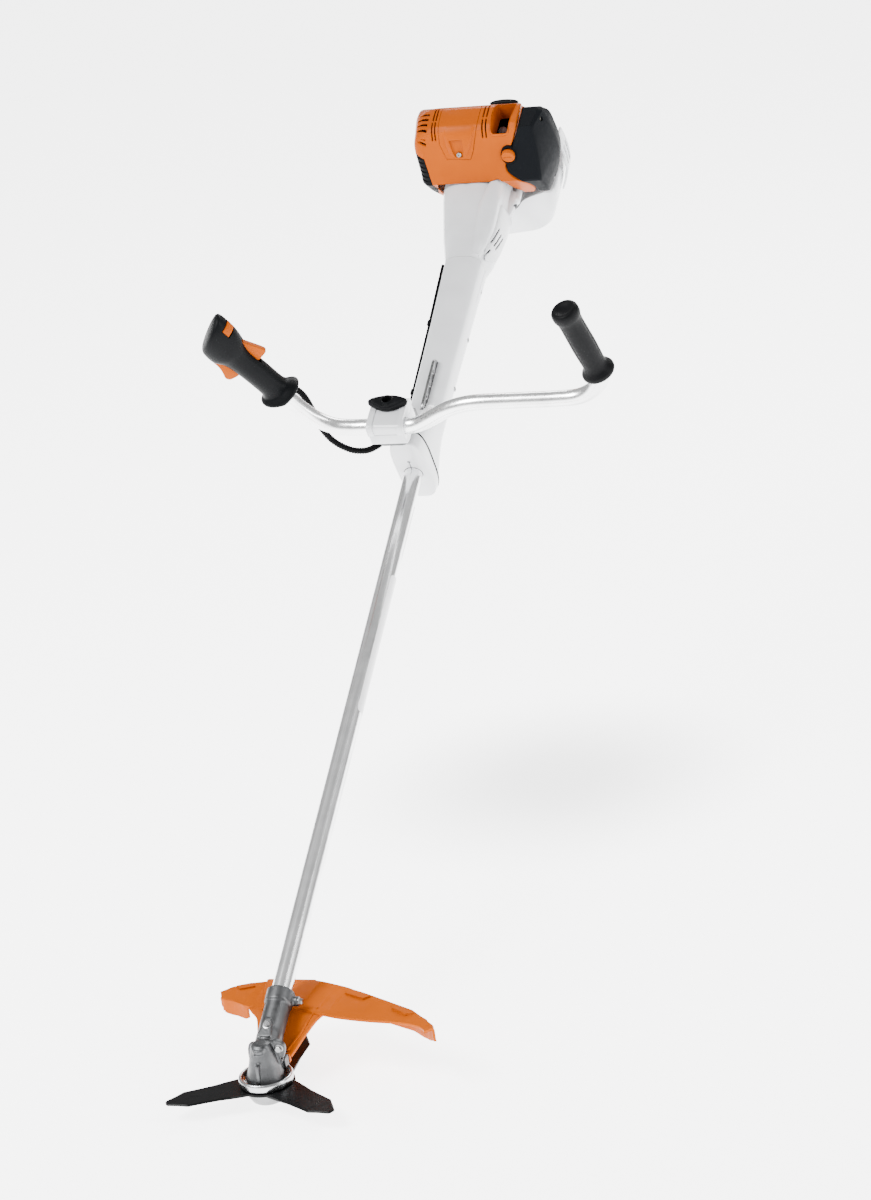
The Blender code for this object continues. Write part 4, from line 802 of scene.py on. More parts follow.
# --- handlebar, clamp and grips --------------------------------------------------------------
def clamp_and_screw():
    """The handlebar's clamp in two halves, and the wing screw that holds them."""
    lower = rounded([(917, 98, 15), (930, 94, 3), (973, 94, 4), (973, 117.6, 0), (917, 117.6, 0)])
    upper = rounded([(917, 118.4, 0), (973, 118.4, 0), (973, 128, 6), (964, 132.5, 5), (936, 134.5, 14),
                     (917, 133, 15)], 8)
    for name, outline, node in (("clamp_base", lower, "clamp_lower"), ("clamp_cap", upper, "clamp_upper")):
        half = piece(name, prism(outline, "X", -24.6, 24.6), WHITE, [node], "clamp")
        if node == "clamp_upper":
            for side in (-1, 1):
                edge = rounded([(915, 118.4, 0), (975, 118.4, 0), (975, 129, 6), (964, 134, 5),
                                (936, 136, 14), (915, 134.5, 15)], 8)
                fuse(half, prism(edge, "X", side * 20.8 - 4.2, side * 20.8 + 4.2))
        carve(half, rod("X", (0, BAR_S, BAR_H), BAR_R + 0.5, -40, 40, 96))
        carve(half, rod("Z", (0, SWIVEL_S, 0), 4.4, 60, 160, 48))
        settle(soften(half, 1.0, 3, 40))
    boss = turned([(0, 86.4), (4.0, 86.4), (4.0, 130), (7.5, 134.4), (7.5, 137.0), (9.5, 140), (9.5, 144),
                   (7.5, 146.4), (0, 146.4)], "Z", (0, SWIVEL_S, 0))
    screw = piece("clamp_wing_screw", boss, BLACK, ["wing_screw"], "hand_screw", sharp=45)
    wings = rounded([(-28, 954.5, 2.5), (-18, 948.5, 5), (-6, 943, 5), (6, 943, 5), (18, 948.5, 5),
                     (28, 954.5, 2.5), (28, 959.5, 2.5), (18, 965.5, 5), (7, 969, 5), (-7, 969, 5),
                     (-18, 965.5, 5), (-28, 959.5, 2.5)], 6, 2)
    rings = []
    for shrink, h, lift in ((0.82, 133.9, 0), (0.95, 135.4, 0.3), (1, 138, 1), (0.97, 141.4, 2.2),
                            (0.84, 143.4, 3)):
        ring = []
        for x, s in wings:
            rise = lift * (abs(x) / 28) ** 2
            ring.append((x * shrink, SWIVEL_S + (s - SWIVEL_S) * (shrink - 0.05), h + rise))
        rings.append(ring)
    fuse(screw, loft(rings))
    carve(screw, turned([(0, 138), (5.6, 138), (7.2, 150), (0, 150)], "Z", (0, SWIVEL_S, 0)))
    settle(soften(screw, 0.5, 2, 45))


def bar_route():
    """The bar's centre line, from inside one grip to inside the other."""
    def from_base(base, lean, along):
        return base[0] - sin(lean) * along, base[1] + cos(lean) * along
    bends = [from_base(LEFT_BASE, CONTROL_LEAN, 56), from_base(LEFT_BASE, CONTROL_LEAN, 25), LEFT_BASE,
             (-114, 160), (-97, 137), (-76, 122.5), (-52, 118.4), (-32, 118), (0, 118), (31, 118),
             (46, 121.5), (64, 131), (87, 144.5), (112, 154), (140, 158), (190, 158.5), (245, 159),
             (276, 162), (298, 174), (312, 192), RIGHT_BASE, from_base(RIGHT_BASE, PLAIN_LEAN, 40),
             from_base(RIGHT_BASE, PLAIN_LEAN, 78)]
    return smooth_route([(x, BAR_S, h) for x, h in bends], 5)


def bar_and_plain_grip():
    """The bent tube and the fluted rubber grip on its right end."""
    piece("bent_bar", swept(bar_route(), BAR_R, 9.3, 48), BAR_ALLOY, ["handlebar"], "bar")
    bore = BAR_R + 0.8
    profile = [(0, 119.4), (4, 119.5), (9, 120.4), (12.4, 121.9), (14.6, 122), (16.8, 120.8), (18.4, 118.2),
               (18.9, 114), (18.7, 109.5), (17.6, 106), (16.5, 102), (16.0, 92), (16.3, 70), (16.5, 50),
               (15.9, 32), (15.5, 22), (16.2, 16), (18.2, 11.6), (21.2, 8.8), (22.4, 6.4), (22.4, 3.4),
               (21.2, 1.2), (19, 0), (15.5, 0), (13.6, 14), (bore, 32), (bore, 96), (0, 96)]
    grip = piece("plain_rubber_grip", turned(profile, "Z", segments=96), RUBBER, ["plain_grip"], "bar",
                 PLAIN, 60)
    flats = [rod("Z", around("Z", (0, 0, 0), 26.2, tau * k / 6, 0), 10.5, 26, 98, 40) for k in range(6)]
    carve(grip, merge(*flats))


GRIP_ROWS = [                   # along, reach on the lockout side, on the trigger side, depth
    (0, 25, 25, 24), (1.5, 27.2, 27.4, 26), (4, 27.6, 28, 26.6), (8, 25, 27, 24), (14, 19, 21, 19),
    (22, 17, 18.5, 17), (50, 17.2, 18, 17.6), (80, 17, 19, 18), (94, 19, 21, 19), (104, 23.5, 24.5, 21),
    (116, 27.5, 28.5, 21.5), (132, 28.5, 29, 21.5), (140, 27.6, 28, 20), (143, 25.2, 26, 17.6),
    (144, 22.6, 24, 15)]


def grip_reach(x, along):
    """The flange hooks forward below and the end face slants back toward the trigger."""
    hook = max(0.0, -x) * 0.40 * max(0.0, min(1.0, 1 - (along - 4) / 40))
    slant = x * 0.46 * max(0.0, min(1.0, (along - 98) / 30))
    return along + hook + slant


def control_grip():
    """Two moulded halves round the bar's left end, with the trigger, its lockout and the stop switch."""
    for name, side, node in (("control_grip_shell_front", -1, "control_grip_front"),
                             ("control_grip_shell_rear", 1, "control_grip_rear")):
        rings = []
        for along, lockout, trigger, depth in dense(GRIP_ROWS, 4):
            ring = []
            for k in range(33):
                c, s = cos(pi * k / 32), sin(pi * k / 32)
                x = (lockout if c > 0 else trigger) * c
                ring.append((x, side * (0.25 + (depth - 0.25) * s ** 0.9), grip_reach(x, along)))
            rings.append(ring)
        half = piece(name, loft(rings), BLACK, [node], "bar", CONTROL, sharp=50)
        socket = [(0, -10), (16, -10), (13.6, 16), (BAR_R + 0.8, 34), (BAR_R + 0.8, 60), (0, 60)]
        carve(half, turned(socket, "Z"))
        carve(half, prism([(-46, 58), (-2, 58), (-2, 121), (-46, 121)], "Y", -6.0, 6.0))
        carve(half, prism([(7, 62), (40, 62), (40, 106), (7, 106)], "Y", -5.2, 5.2))
        carve(half, prism([(9, 125.6), (36, 125.6), (36, 140.2), (9, 140.2)], "Y", -16.0, 1.4))
    trigger = rounded([(-14, 110, 3), (-12.5, 70, 3), (-20, 68, 4), (-33, 71, 5), (-36, 77, 5),
                       (-29, 93, 10), (-29, 112, 4), (-20, 115, 4)], 8)
    lockout = rounded([(13, 103, 2), (12.8, 70, 3), (18, 67, 2), (34, 70, 3), (33, 76, 4), (22, 103, 2)], 6)
    for name, outline, half, body, node in (("trigger_lever", trigger, 5.2, "trigger", "throttle_trigger"),
                                            ("lockout_lever", lockout, 4.4, "lockout", "trigger_lockout")):
        part = piece(name, prism(outline, "Y", -half, half), ORANGE, [node], body, CONTROL)
        settle(soften(part, 1.3, 4, 40))
    rings = []
    for y, skin in ((-15.2, 20.0), (-13, 22.9), (-9, 26.0), (-4, 28.4), (0.6, 29.2)):
        rings.append([(skin - 5, y, 127), (skin - 0.4, y, 127), (skin + 0.8, y, 128.4),
                      (skin + 0.5, y, 133), (skin + 1.8, y, 137.4), (skin + 0.8, y, 138.8),
                      (skin - 5, y, 138.8)])
    rocker = piece("stop_button", loft(rings), ORANGE, ["stop_switch"], "stop", CONTROL)
    settle(soften(rocker, 0.5, 2, 40))


# --- throttle cable --------------------------------------------------------------------------
def cable():
    """The corrugated sleeve in two lengths, which meet half way, and the cable beside the casing."""
    points = [(-125, 955, 181), (-115, 957, 160), (-110, 956, 132), (-106, 952, 104), (-94, 948, 78),
              (-74, 947, 60), (-57, 955, 48), (-46, 970, 40), (-38, 983, 37.4), (-29, 987, 37),
              (-20.5, 987, 37)]
    route = smooth_route(points, 0.9)
    joint = len(route) // 2
    grip_side, nose_side = route[:joint + 1], route[joint:]
    for name, part, bodies, outward in (
            ("cable_sleeve_upper", grip_side, ("clamp", "bar"), grip_side),
            ("cable_sleeve_lower", nose_side, ("frame", "clamp"), nose_side[::-1])):
        sizes = [4.62 if k % 4 in (1, 2) else 4.02 for k in range(len(part))]
        sleeve = added(name, mesh_of(name, swept(part, sizes, 0, 20), SHAFT, 60))
        sleeve.data.materials.append(HOSE)
        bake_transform(sleeve)
        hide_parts("cable_sleeve")
    beside = [(1080, 27.4, 8.8), (1100, 27.5, 9), (1150, 27.8, 10), (1200, 28.2, 10.5), (1231, 28.6, 11),
              (1290, 29.4, 13), (1344, 30.2, 14)]
    line = smooth_route([(-x, s, h) for s, x, h in beside], 6)
    piece("cable_line", swept(line, 2.1, 0, 20), HOSE, ["throttle_cable"])
    for name, s, x, h, node in (("cable_holder_lower", 1099, 27.5, 9, "cable_clip_lower"),
                                ("cable_holder_upper", 1231, 28.6, 11, "cable_clip_upper")):
        profile = [(2.4, s - 4), (3.4, s - 4), (3.8, s - 3.4), (3.8, s + 3.4), (3.4, s + 4), (2.4, s + 4)]
        holder = piece(name, turned(profile, "Y", (-x, 0, h)), BLACK, [node])
        tongue = box((-x - 0.5, -x + 3.6), (s - 2.5, s + 2.5), (h + 2.6, h + 4.4))
        fuse(holder, tongue)


# --- clutch housing --------------------------------------------------------------------------
HOUSING_ROWS = [                # s, left, right, underside, top
    (CASING_BACK + 0.3, -29, 29, -30, 29), (1368, -34, 35, -34, 31), (1391, -40, 38, -38, 33.5),
    (1442, -50, 39.5, -46, 38), (1480, -57, 40, -51.5, 41.5), (1512, -60.5, 41, -55, 42)]


def housing_outlines(inset):
    return hull_rings(HOUSING_ROWS, 6, inset)


def clutch_cover():
    """White flared housing with a soft shoulder, a scoop under the engine's lip and a fixing lug."""
    rings = housing_outlines(0) + housing_outlines(2.9)[::-1]
    shell = piece("clutch_cover", loft(rings, closed=True), WHITE, ["clutch_housing"], sharp=50)
    shoulder = []
    for s, left, right, low, high in dense([(1350, 12, 27, 4, 29.0), (1368, 10, 33, 4, 33.0),
                                            (1400, 8, 37.5, 4, 37.0), (1442, 8, 38.6, 4, 41.4),
                                            (1475, 14, 39.0, 4, 43.6), (1496, 22, 39, 4, 43.2),
                                            (1508, 28, 38, 4, 41.6)], 5):
        shoulder.append(standing(superellipse((left, right), (low, high), 2.6, 48), s))
    fuse(shell, loft(shoulder))
    carve(shell, loft(housing_outlines(2.9)[1:-1]))
    carve(shell, prism(superellipse((-57.0, 37.2), (-52, 39.0), 3.0), "Y", 1500, 1530))
    scoop = turned([(0, 1455), (4, 1462), (13, 1482), (23, 1500), (29, 1516), (0, 1516)], "Y",
                   (-14, 0, 0), 64)
    for vert in scoop.verts:
        vert.co.z += 42.6 + (vert.co.y - 1455) * 0.42
    carve(shell, scoop)
    fuse(shell, turned([(13.1, 1440), (20, 1440), (20, 1466), (13.1, 1466)], "Y"))
    spokes = merge(box((-52, -15), (1446, 1460), (-3, 3)), box((-3, 3), (1446, 1460), (-47, -15)),
                   box((-3, 3), (1446, 1460), (15, 37)))
    fuse(shell, spokes)
    web = rounded([(38, 4, 3), (46, 1, 4), (52, -6, 6), (51, -14, 6), (44, -19, 4), (38, -22, 3)])
    plate = []
    for s, shrink in ((1462, 0.35), (1480, 0.75), (1493, 1.0), (1504, 1.0)):
        plate.append([(38 + (x - 38) * shrink, s, -9 + (h + 9) * shrink) for x, h in web])
    fuse(shell, loft(plate))
    lug = [(0, 1492), (6.4, 1492), (7.4, 1492.6), (8, 1494), (8, 1514), (0, 1514)]
    centre = (45, 0, -9)
    fuse(shell, turned(lug, "Y", centre))
    carve(shell, rod("Y", centre, 4.9, 1480, 1493.8))
    carve(shell, rod("Y", centre, 2.6, 1490, 1520))
    head = screw_head("Y", around("Y", centre, 0, 0, 1497.6), 4.3, 3.2, -1)
    piece("lug_screw", merge(head, rod("Y", centre, 2.1, 1497, 1512)), STEEL)


LEAF = [(1448, 35, 8), (1459, 10, 10), (1468, -29, 6), (1447, -29, 10), (1411, -21, 10), (1369, -11, 10),
        (1348, 16, 8), (1352, 50, 4), (1400, 50, 4)]


def vent_panel():
    """Leaf-shaped louvre panel that wraps round the housing's right side, over a thin black sheet of painted shade
    that darkens its slots.
    """
    louvres = [((1401, 40), (1370, 44)), ((1424, 22), (1375, 31)), ((1417, 11), (1379, 20)),
               ((1415, 1), (1380, 12)), ((1416, -8), (1380, 5)), ((1362, 45), (1354, 45)),
               ((1366, 34), (1353, 36)), ((1368, 24), (1353, 27)), ((1371, 15), (1354, 19))]
    panel = piece("vent_panel", loft(housing_outlines(-2.9)), WHITE, ["vent_cover"], sharp=50)
    keep(panel, prism(rounded(LEAF), "X", 32, 60))
    carve(panel, loft(housing_outlines(-1.3)))
    slots = []
    for start, end in louvres:
        start, end = Vector(start), Vector(end)
        way = (end - start).normalized()
        side = Vector((-way.y, way.x)) * 1.5
        corners = [start + side, end + side, end - side, start - side]
        slots.append(prism(rounded([(*corner, 1.4) for corner in corners], 4), "X", 30, 60))
    carve(panel, merge(*slots))
    settle(soften(panel, 0.35, 2, 50))
    # A thin black sheet of painted shade lies just under the louvres, so that the slots look dark.
    shade_sheet = piece("vent_painted_shade_sheet", loft(housing_outlines(-1.1)), DARK, sharp=50)
    inside = [(s + (1405 - s) * 0.06, h + (8 - h) * 0.08, r) for s, h, r in LEAF]
    keep(shade_sheet, prism(rounded(inside), "X", 33, 60))
    carve(shade_sheet, loft(housing_outlines(-0.35)))


# --- engine shroud ---------------------------------------------------------------------------
SHROUD_ROWS = [                 # h, left in front, left behind, right, back
    (-28, -64, -92, 60, 1628), (-10, -70, -98, 72, 1631), (14, -78, -104, 79, 1632),
    (30, -80, -106, 75, 1632), (LIP_H, -81, -107, 63, 1632), (55, -82, -107, 50.5, 1629),
    (67, -84, -106, 50.5, 1620), (90, -87, -99, 62, 1595), (104, -82, -89, 68, 1580),
    (111, -74, -80, 71, 1572), (116, -62, -66, 70, 1565), (118.5, -44, -48, 58, 1558)]


def shroud_front(h):
    """The face falls back above and below the lip, then turns over into the crown."""
    if h <= 111:
        return LIP_S + FACE_SLOPE * abs(h - LIP_H)
    if h <= 116:
        return 1518.7 + (h - 111) * 1.46
    return 1526 + (h - 116) * 4.8


def shroud_outlines(inset, foot=-28):
    rings = []
    for h, left, left_back, right, back in dense(SHROUD_ROWS, 5):
        if h > CROWN_H - inset:
            break
        ring_h = foot if h == SHROUD_FOOT else h
        front = shroud_front(h) + inset * 1.14
        turn = 9 + 30 * max(0.0, min(1.0, (h - 70) / 34))
        corners = [(left + inset, front, 14), (right - inset, front, 3), (right - inset, back - inset, 5),
                   (left_back + inset, back - inset, turn)]
        rings.append(level(rounded(corners, 6, 6), ring_h))
    return rings


SHROUD_FOOT, CROWN_H = SHROUD_ROWS[0][0], SHROUD_ROWS[-1][0]
AHEAD = 1440                    # clear of the shroud's face, where every cut from the front starts
GRILLE_OUTLINE = [(-130, 84), (-88, 84), (-73, 77), (-62.5, 29), (-70, 4), (-84, -2), (-130, -2)]
PLUG_OUTLINE = [(20, 140), (3, 85), (-2, 74), (-38, 76), (-46, 95), (-46, 140)]
WINDOW = [(33, 1515, 5), (59, 1515, 5), (66, 1566, 5), (34, 1566, 5)]
WINDOW_DEPTH = (88, 140)
CHOKE = (56, 0, 78)
CHOKE_HOLE_R = 11.7


def shroud():
    """Orange engine shroud with its cooling slots, the window over the carburettor and its openings."""
    shell = piece("engine_cowl", loft(shroud_outlines(0)), ORANGE, ["engine_shroud"], sharp=26)
    carve(shell, loft(shroud_outlines(SKIN, -45)))
    throat = [(-90, -70), (-62, -12), (-62, 30), (-57, 43.2), (22, 43.2), (28, 44.4), (34, 46.5), (39, 44),
              (44, 36), (47, 22), (60, -4), (95, -4), (95, -70)]
    carve(shell, prism(throat, "Y", 1470, 1560))
    carve(shell, rod("Y", (0, 0, 0), 55.5, 1590, 1650, 72))
    carve(shell, prism(grown(GRILLE_OUTLINE, SEAM), "Y", AHEAD, 1598 + SEAM))
    carve(shell, prism(grown(PLUG_OUTLINE, SEAM), "Y", AHEAD, 1572 + SEAM))
    carve(shell, prism(rounded(WINDOW), "Z", *WINDOW_DEPTH))
    carve(shell, merge(rod("X", (0, 1548, 58), 9, 40, 60), rod("Y", CHOKE, CHOKE_HOLE_R, 1480, 1530)))
    slots = []
    for x in (-56.2, -51.6, 20.2, 25.6):
        slots.append(box((x - 1.1, x + 1.1), (1490, 1535.4), (100.5, 140)))
        slots.append(box((x - 1.1, x + 1.1), (1538, 1563.5), (100.5, 140)))
    for h in (99.4, 106.2):
        bar = [(-82, h - 0.4, 1.2), (-67, h - 5.6, 1.2), (-67, h - 1.4, 1.2), (-82, h + 3.8, 1.2)]
        slots.append(prism(rounded(bar[::-1], 3), "Y", 1490, 1516))
    for k in range(4):
        s = 1519.5 + k * 10.2
        bar = [(-86, s + 10.2, 1.5), (-64, s, 1.5), (-64, s + 4.8, 1.5), (-86, s + 15, 1.5)]
        slots.append(prism(rounded(bar, 3), "Z", 103, 140))
    carve(shell, merge(*slots))
    chute = piece("window_chute", prism(grown(rounded(WINDOW)[::-1], 2.0), "Z", *WINDOW_DEPTH), ORANGE)
    carve(chute, prism(rounded(WINDOW), "Z", 80, 145))
    keep(chute, loft(shroud_outlines(SKIN + 0.3)))
    lip = piece("window_rim", prism(grown(rounded(WINDOW)[::-1], 1.4), "Z", *WINDOW_DEPTH), ORANGE)
    carve(lip, prism(grown(rounded(WINDOW)[::-1], 0.1), "Z", 80, 145))
    keep(lip, loft(shroud_outlines(-0.9)))
    carve(lip, loft(shroud_outlines(0.05)))


def panel_of_skin(name, outline, back, material, node):
    """A panel of the shroud's own skin, cut out along its outline."""
    panel = piece(name, loft(shroud_outlines(0)), material, [node], sharp=26)
    carve(panel, loft(shroud_outlines(SKIN)))
    keep(panel, prism(outline, "Y", AHEAD, back))
    return panel


def plug_panel():
    """The spark plug's cover: it bulges a little and has a U-shaped recess with its screw."""
    panel = panel_of_skin("spark_plug_cover", PLUG_OUTLINE, 1572, ORANGE, "plug_cover")
    swell = []
    for h, left, right, proud in ((78, -30, -6, 0.2), (84, -34, -3, 1.6), (96, -37, 2, 2.4),
                                  (106, -38, 6, 2.4), (112.5, -38, 8, 1.4), (115.5, -36, 8, 0.4)):
        front = shroud_front(h) - proud
        corners = [(left, front, 6), (right, front, 6), (right + 3, front + 9, 4), (left - 3, front + 9, 4)]
        swell.append(level(rounded(corners, 5), h))
    fuse(panel, loft(swell))
    carve(panel, loft(shroud_outlines(SKIN + 0.6)))
    hollow = []
    for h, half, depth in ((77.5, 5.4, 1.6), (80, 6.6, 2.0), (86, 8.2, 2.0), (94, 9.2, 1.6),
                           (101, 9.8, 0.6)):
        front = shroud_front(h)
        centre = -19.0 - (h - 80) * 0.12
        hollow.append([(centre - half, front - 8, h), (centre + half, front - 8, h),
                       (centre + half, front + depth - 0.8, h), (centre + half - 1.6, front + depth, h),
                       (centre - half + 1.6, front + depth, h), (centre - half, front + depth - 0.8, h)])
    carve(panel, loft(hollow))
    slope = atan2(FACE_SLOPE, 1)
    foot = (-19, 1503.0, 80.5)
    head = screw_head("Y", foot, 3.6, 2.6, -1)
    piece("plug_cover_screw", turned_about(head, "X", -slope, foot), STEEL)


def muffler_grille():
    """The black corner over the muffler: shallow grooves in front, open slots behind."""
    grille = panel_of_skin("muffler_grille", GRILLE_OUTLINE, 1598, BLACK, "muffler_guard")
    ribs = [box((-130, -55), (AHEAD, 1592), (h, h + 2.6)) for h in range(5, 78, 6)]
    backing = loft(shroud_outlines(1.3, -45))
    carve(grille, backing_cut(ribs, backing))
    slots = [box((-130, -80), (1536, 1582), (h, h + 2.6)) for h in range(11, 70, 12)]
    carve(grille, merge(*slots))


def backing_cut(shapes, core):
    """Shapes with a core taken out of them, so that a cut stays shallow."""
    DRAWN_AS["grooves"] = (Matrix.Identity(4), 180)
    tool = added("grooves", mesh_of("grooves", merge(*shapes), *DRAWN_AS["grooves"]))
    carve(tool, core)
    bm = bmesh.new()
    bm.from_mesh(tool.data)
    dropped(tool)
    return bm


# --- filter cover ----------------------------------------------------------------------------
COVER_ROWS = [                  # h, left, ridge, right, back
    (-15, 84, 91, 95, 1577), (-8, 83, 96, 101, 1577), (14, 82, 100, 109, 1577), (30, 78, 100, 113, 1577),
    (45, 66, 100, 114, 1577), (55, 52, 100, 114, 1577), (67, 52, 100, 113, 1577), (90, 64, 98, 110, 1577),
    (110, 73, 95, 105, 1564), (114, 77, 93, 99, 1558)]


COVER_EDGE = 1554               # where the right facet meets the cover's flat side
COVER_SCREWS = ((1543, 104), (1534, -2))


def cover_front(h):
    return LIP_S - 2.0 + FACE_SLOPE * abs(h - LIP_H) + max(0, -h) * 0.5


def cover_outlines():
    rings = []
    for h, left, ridge, right, back in dense(COVER_ROWS, 4):
        front = cover_front(h)
        corners = [(left, front, 3), (ridge, front, 4), (right, COVER_EDGE, 5), (right - 3, back, 3),
                   (left, back, 2)]
        rings.append(level(rounded(corners, 5, 3), h))
    return rings


def facet_x(s, h):
    """The cover's right facet."""
    ridge, right = 100 - abs(h - 45) * 0.05, 113.5 - abs(h - 45) * 0.09
    return ridge + (right - ridge) * (s - cover_front(h)) / (COVER_EDGE - cover_front(h))


def air_cover():
    """Black faceted cover of the air filter, with two screw pockets, and the choke button beside it."""
    cover = piece("air_cleaner_cover", loft(cover_outlines()), BLACK_COVER, ["filter_cover"], sharp=26)
    cavity = []
    for h, left, ridge, right, back in dense(COVER_ROWS[1:-1], 3):
        front = cover_front(h) + 2.4
        cavity.append([(left + 2.4, front, h), (ridge - 1.5, front, h), (right - 2.4, COVER_EDGE, h),
                       (right - 5.4, back + 20, h), (left + 2.4, back + 20, h)])
    carve(cover, loft(cavity))
    carve(cover, box((40, 76), (1522, 1590), (46, 106)))
    carve(cover, rod("Y", CHOKE, CHOKE_HOLE_R, 1460, 1530))
    pocket = [(0, -5), (3.2, -5), (4.0, 4), (0, 4)]
    pockets = [turned(pocket, "X", (facet_x(s, h) - 1.2, s, h), 32) for s, h in COVER_SCREWS]
    carve(cover, merge(*pockets))
    heads = [screw_head("X", (facet_x(s, h) - 6.0, s, h), 2.6, 1.6) for s, h in COVER_SCREWS]
    piece("air_cover_screws", merge(*heads), STEEL)
    knob = [(0, 1492.6), (7.6, 1492.8), (9.2, 1493.6), (9.9, 1495.2), (9.9, 1500), (6, 1501), (6, 1512),
            (0, 1512)]
    choke = piece("choke_button", turned(knob, "Y", CHOKE, 72), ORANGE, ["choke_knob"], "choke")
    bar = rounded([(49.6, 76.9, 1), (62.4, 76.9, 1), (62.4, 79.1, 1), (49.6, 79.1, 1)], 3)
    fuse(choke, prism(bar, "Y", 1491.8, 1494))
    ring = turned([(10.2, 1497.4), (11.2, 1497.4), (11.6, 1498), (11.6, 1503), (10.2, 1503)], "Y", CHOKE,
                  72)
    for vert in ring.verts:
        vert.co.y += (vert.co.z - CHOKE[2]) * FACE_SLOPE
    piece("choke_collar", ring, BLACK)


# --- fuel, starter and foot ------------------------------------------------------------------
FILLER = (14, 0, -91)
TANK_CORNERS = [(-45, -66, 6), (-45, -104, 16), (-25, -117, 12), (54, -108, 16), (76, -95, 14),
                (91, -60, 12), (96, -36, 5), (95, -27, 3), (84, -25, 3), (70, -29, 5), (45, -39, 10),
                (28, -62, 12)]


def tank_outline(size):
    """The tank's outline, drawn in or out about its middle."""
    x0, h0 = 20, -70
    return [(x0 + (x - x0) * size, h0 + (h - h0) * size) for x, h in rounded(TANK_CORNERS, 7, 3)]


def tank_and_foot():
    """The white tank under the engine, its filler cap and the curved strap it stands on."""
    rings = []
    for s, size in dense([(1531, 0.90), (1532.4, 0.935), (1536, 0.97), (1542, 0.99), (1556, 1),
                          (1600, 0.99), (1622, 0.975), (1632, 0.96), (1636.4, 0.935), (1638, 0.90)], 3):
        rings.append(standing(tank_outline(size), s))
    tank = piece("fuel_canister", loft(rings), WHITE, ["fuel_tank"], sharp=45)
    carve(tank, rod("Y", FILLER, 9, 1600, 1650, 64))
    groove = prism(tank_outline(1.03), "Y", 1585.2, 1586.2)
    carve(tank, backing_cut([groove], prism(tank_outline(0.982), "Y", 1580, 1590)))
    cap = [(0, 1626), (8.5, 1626), (8.5, 1638.4), (14.4, 1638.4), (15, 1639), (15, 1647), (14, 1649.2),
           (12.4, 1650), (4, 1650), (3.4, 1649.2), (0, 1649.2)]
    filler = piece("filler_cap", turned(cap, "Y", FILLER, 96), BLACK, ["fuel_cap"], "tank_cap")
    flutes = []
    for k in range(18):
        flutes.append(rod("Y", around("Y", FILLER, 16.6, tau * k / 18, 0), 2.1, 1639.6, 1655, 16))
    carve(filler, merge(*flutes))
    outer = [(105, 30, 3), (109, 2, 16), (107, -30, 12), (99, -54, 10), (91, -70, 3)]
    inner = [(89, -68, 2), (96, -53, 8), (101, -36, 6), (104, -28, 6), (105.5, 2, 12), (101.5, 29, 2)]
    strap = piece("stand_strap", prism(rounded(outer + inner, 6), "Y", 1579, 1606), WHITE,
                  ["engine_foot"], sharp=45)
    windows = []
    for low, high in ((1583.6, 1590), (1595, 1601.4)):
        slot = rounded([(low, -26, 2.5), (high, -26, 2.5), (high, 10, 2.5), (low, 10, 2.5)], 5)
        windows.append(prism(slot, "X", 90, 130))
    carve(strap, merge(*windows))
    settle(soften(strap, 0.6, 3, 50), 50)


STARTER_PULL = Vector((0, sqrt(0.5), sqrt(0.5)))
STARTER_EYE = Vector((14.0, 1645.0, 41.0))


def starter():
    """Recoil starter cover and its pull grip; a short rope runs back into the cover."""
    profile = [(0, 1664), (20, 1664), (24, 1663.4), (31, 1660), (42, 1648.4), (52, 1636), (53.6, 1632),
               (54, 1628), (54, 1582), (51.4, 1582), (51.4, 1627), (29.5, 1656), (21, 1661), (0, 1661)]
    shell = piece("recoil_cover", turned(profile, "Y", segments=96), BLACK, ["starter_housing"])
    vents = []
    for k in range(24):
        slot = box((33, 44), (1638, 1672), (-1.5, 1.5))
        vents.append(turned_about(slot, "Y", tau * (k + 0.5) / 24))
    for k in range(6):
        rim = box((50, 56), (1596 + k * 5, 1598 + k * 5), (-18, 18))
        vents.append(rim)
    carve(shell, merge(*vents))
    pull = STARTER_PULL
    carve(shell, swept([STARTER_EYE - pull * 12, STARTER_EYE, STARTER_EYE + pull * 12], 3.2, 0, 32))
    seat = STARTER_EYE + pull * 1.5
    middle = seat + pull * 5
    route = [middle + Vector((x, 0, 0)) - pull * (x / 22) ** 2 * 2.5 for x in range(-21, 22, 3)]
    sizes = [4.6 - 1.4 * (abs(k - 7) / 7) ** 6 for k in range(15)]
    grip = piece("pull_handle", swept(route, sizes, 0, 32), BLACK, ["starter_grip"], "pull_grip", sharp=45)
    fuse(grip, swept([middle - pull * 5.5, middle - pull * 4, middle - pull * 2], [5.6, 6.4, 6.5], 0, 32))
    stretch = [middle - pull * (4 + k) for k in range(18)]
    rope = added("pull_rope", mesh_of("pull_rope", swept(stretch, 1.7, 0, 16), SHAFT, 60))
    rope.data.materials.append(ROPE)
    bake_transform(rope)


def primer():
    """The clear bulb that draws fuel, seen through the window of the shroud."""
    bulb = [(0, 69.6), (3.6, 69.6), (3.6, 73.4), (8, 73.4), (8.2, 74.4), (8, 76), (7.4, 79), (6.4, 81.4),
            (4.6, 83.2), (2.4, 84), (0, 84.2)]
    piece("fuel_bulb", turned(bulb, "Z", (39, 1550, 0), 64), BULB, ["primer_bulb"], "primer")


# --- CAD nodes that show as they are ---------------------------------------------------------
PLAIN_NODES = {
    "steel": STEEL, "casting": CAST, "alloy": ALLOY, "bronze": BRONZE, "felt": FELT, "ceramic": CERAMIC,
    "black_plastic": BLACK, "white_plastic": WHITE, "orange_plastic": ORANGE, "rubber": RUBBER,
    "chrome_rim": CHROME, "knife_paint": KNIFE}


def paint_inner_nodes():
    """Working parts inside the covers keep their CAD shape, with softened edges and real finishes."""
    for node, obj in frame["nodes"].items():
        if obj.hide_render:
            continue
        obj.data.materials.clear()
        obj.data.materials.append(PLAIN_NODES[SLOT_OF[node]])
        soften(obj, 0.25, 2, 40)


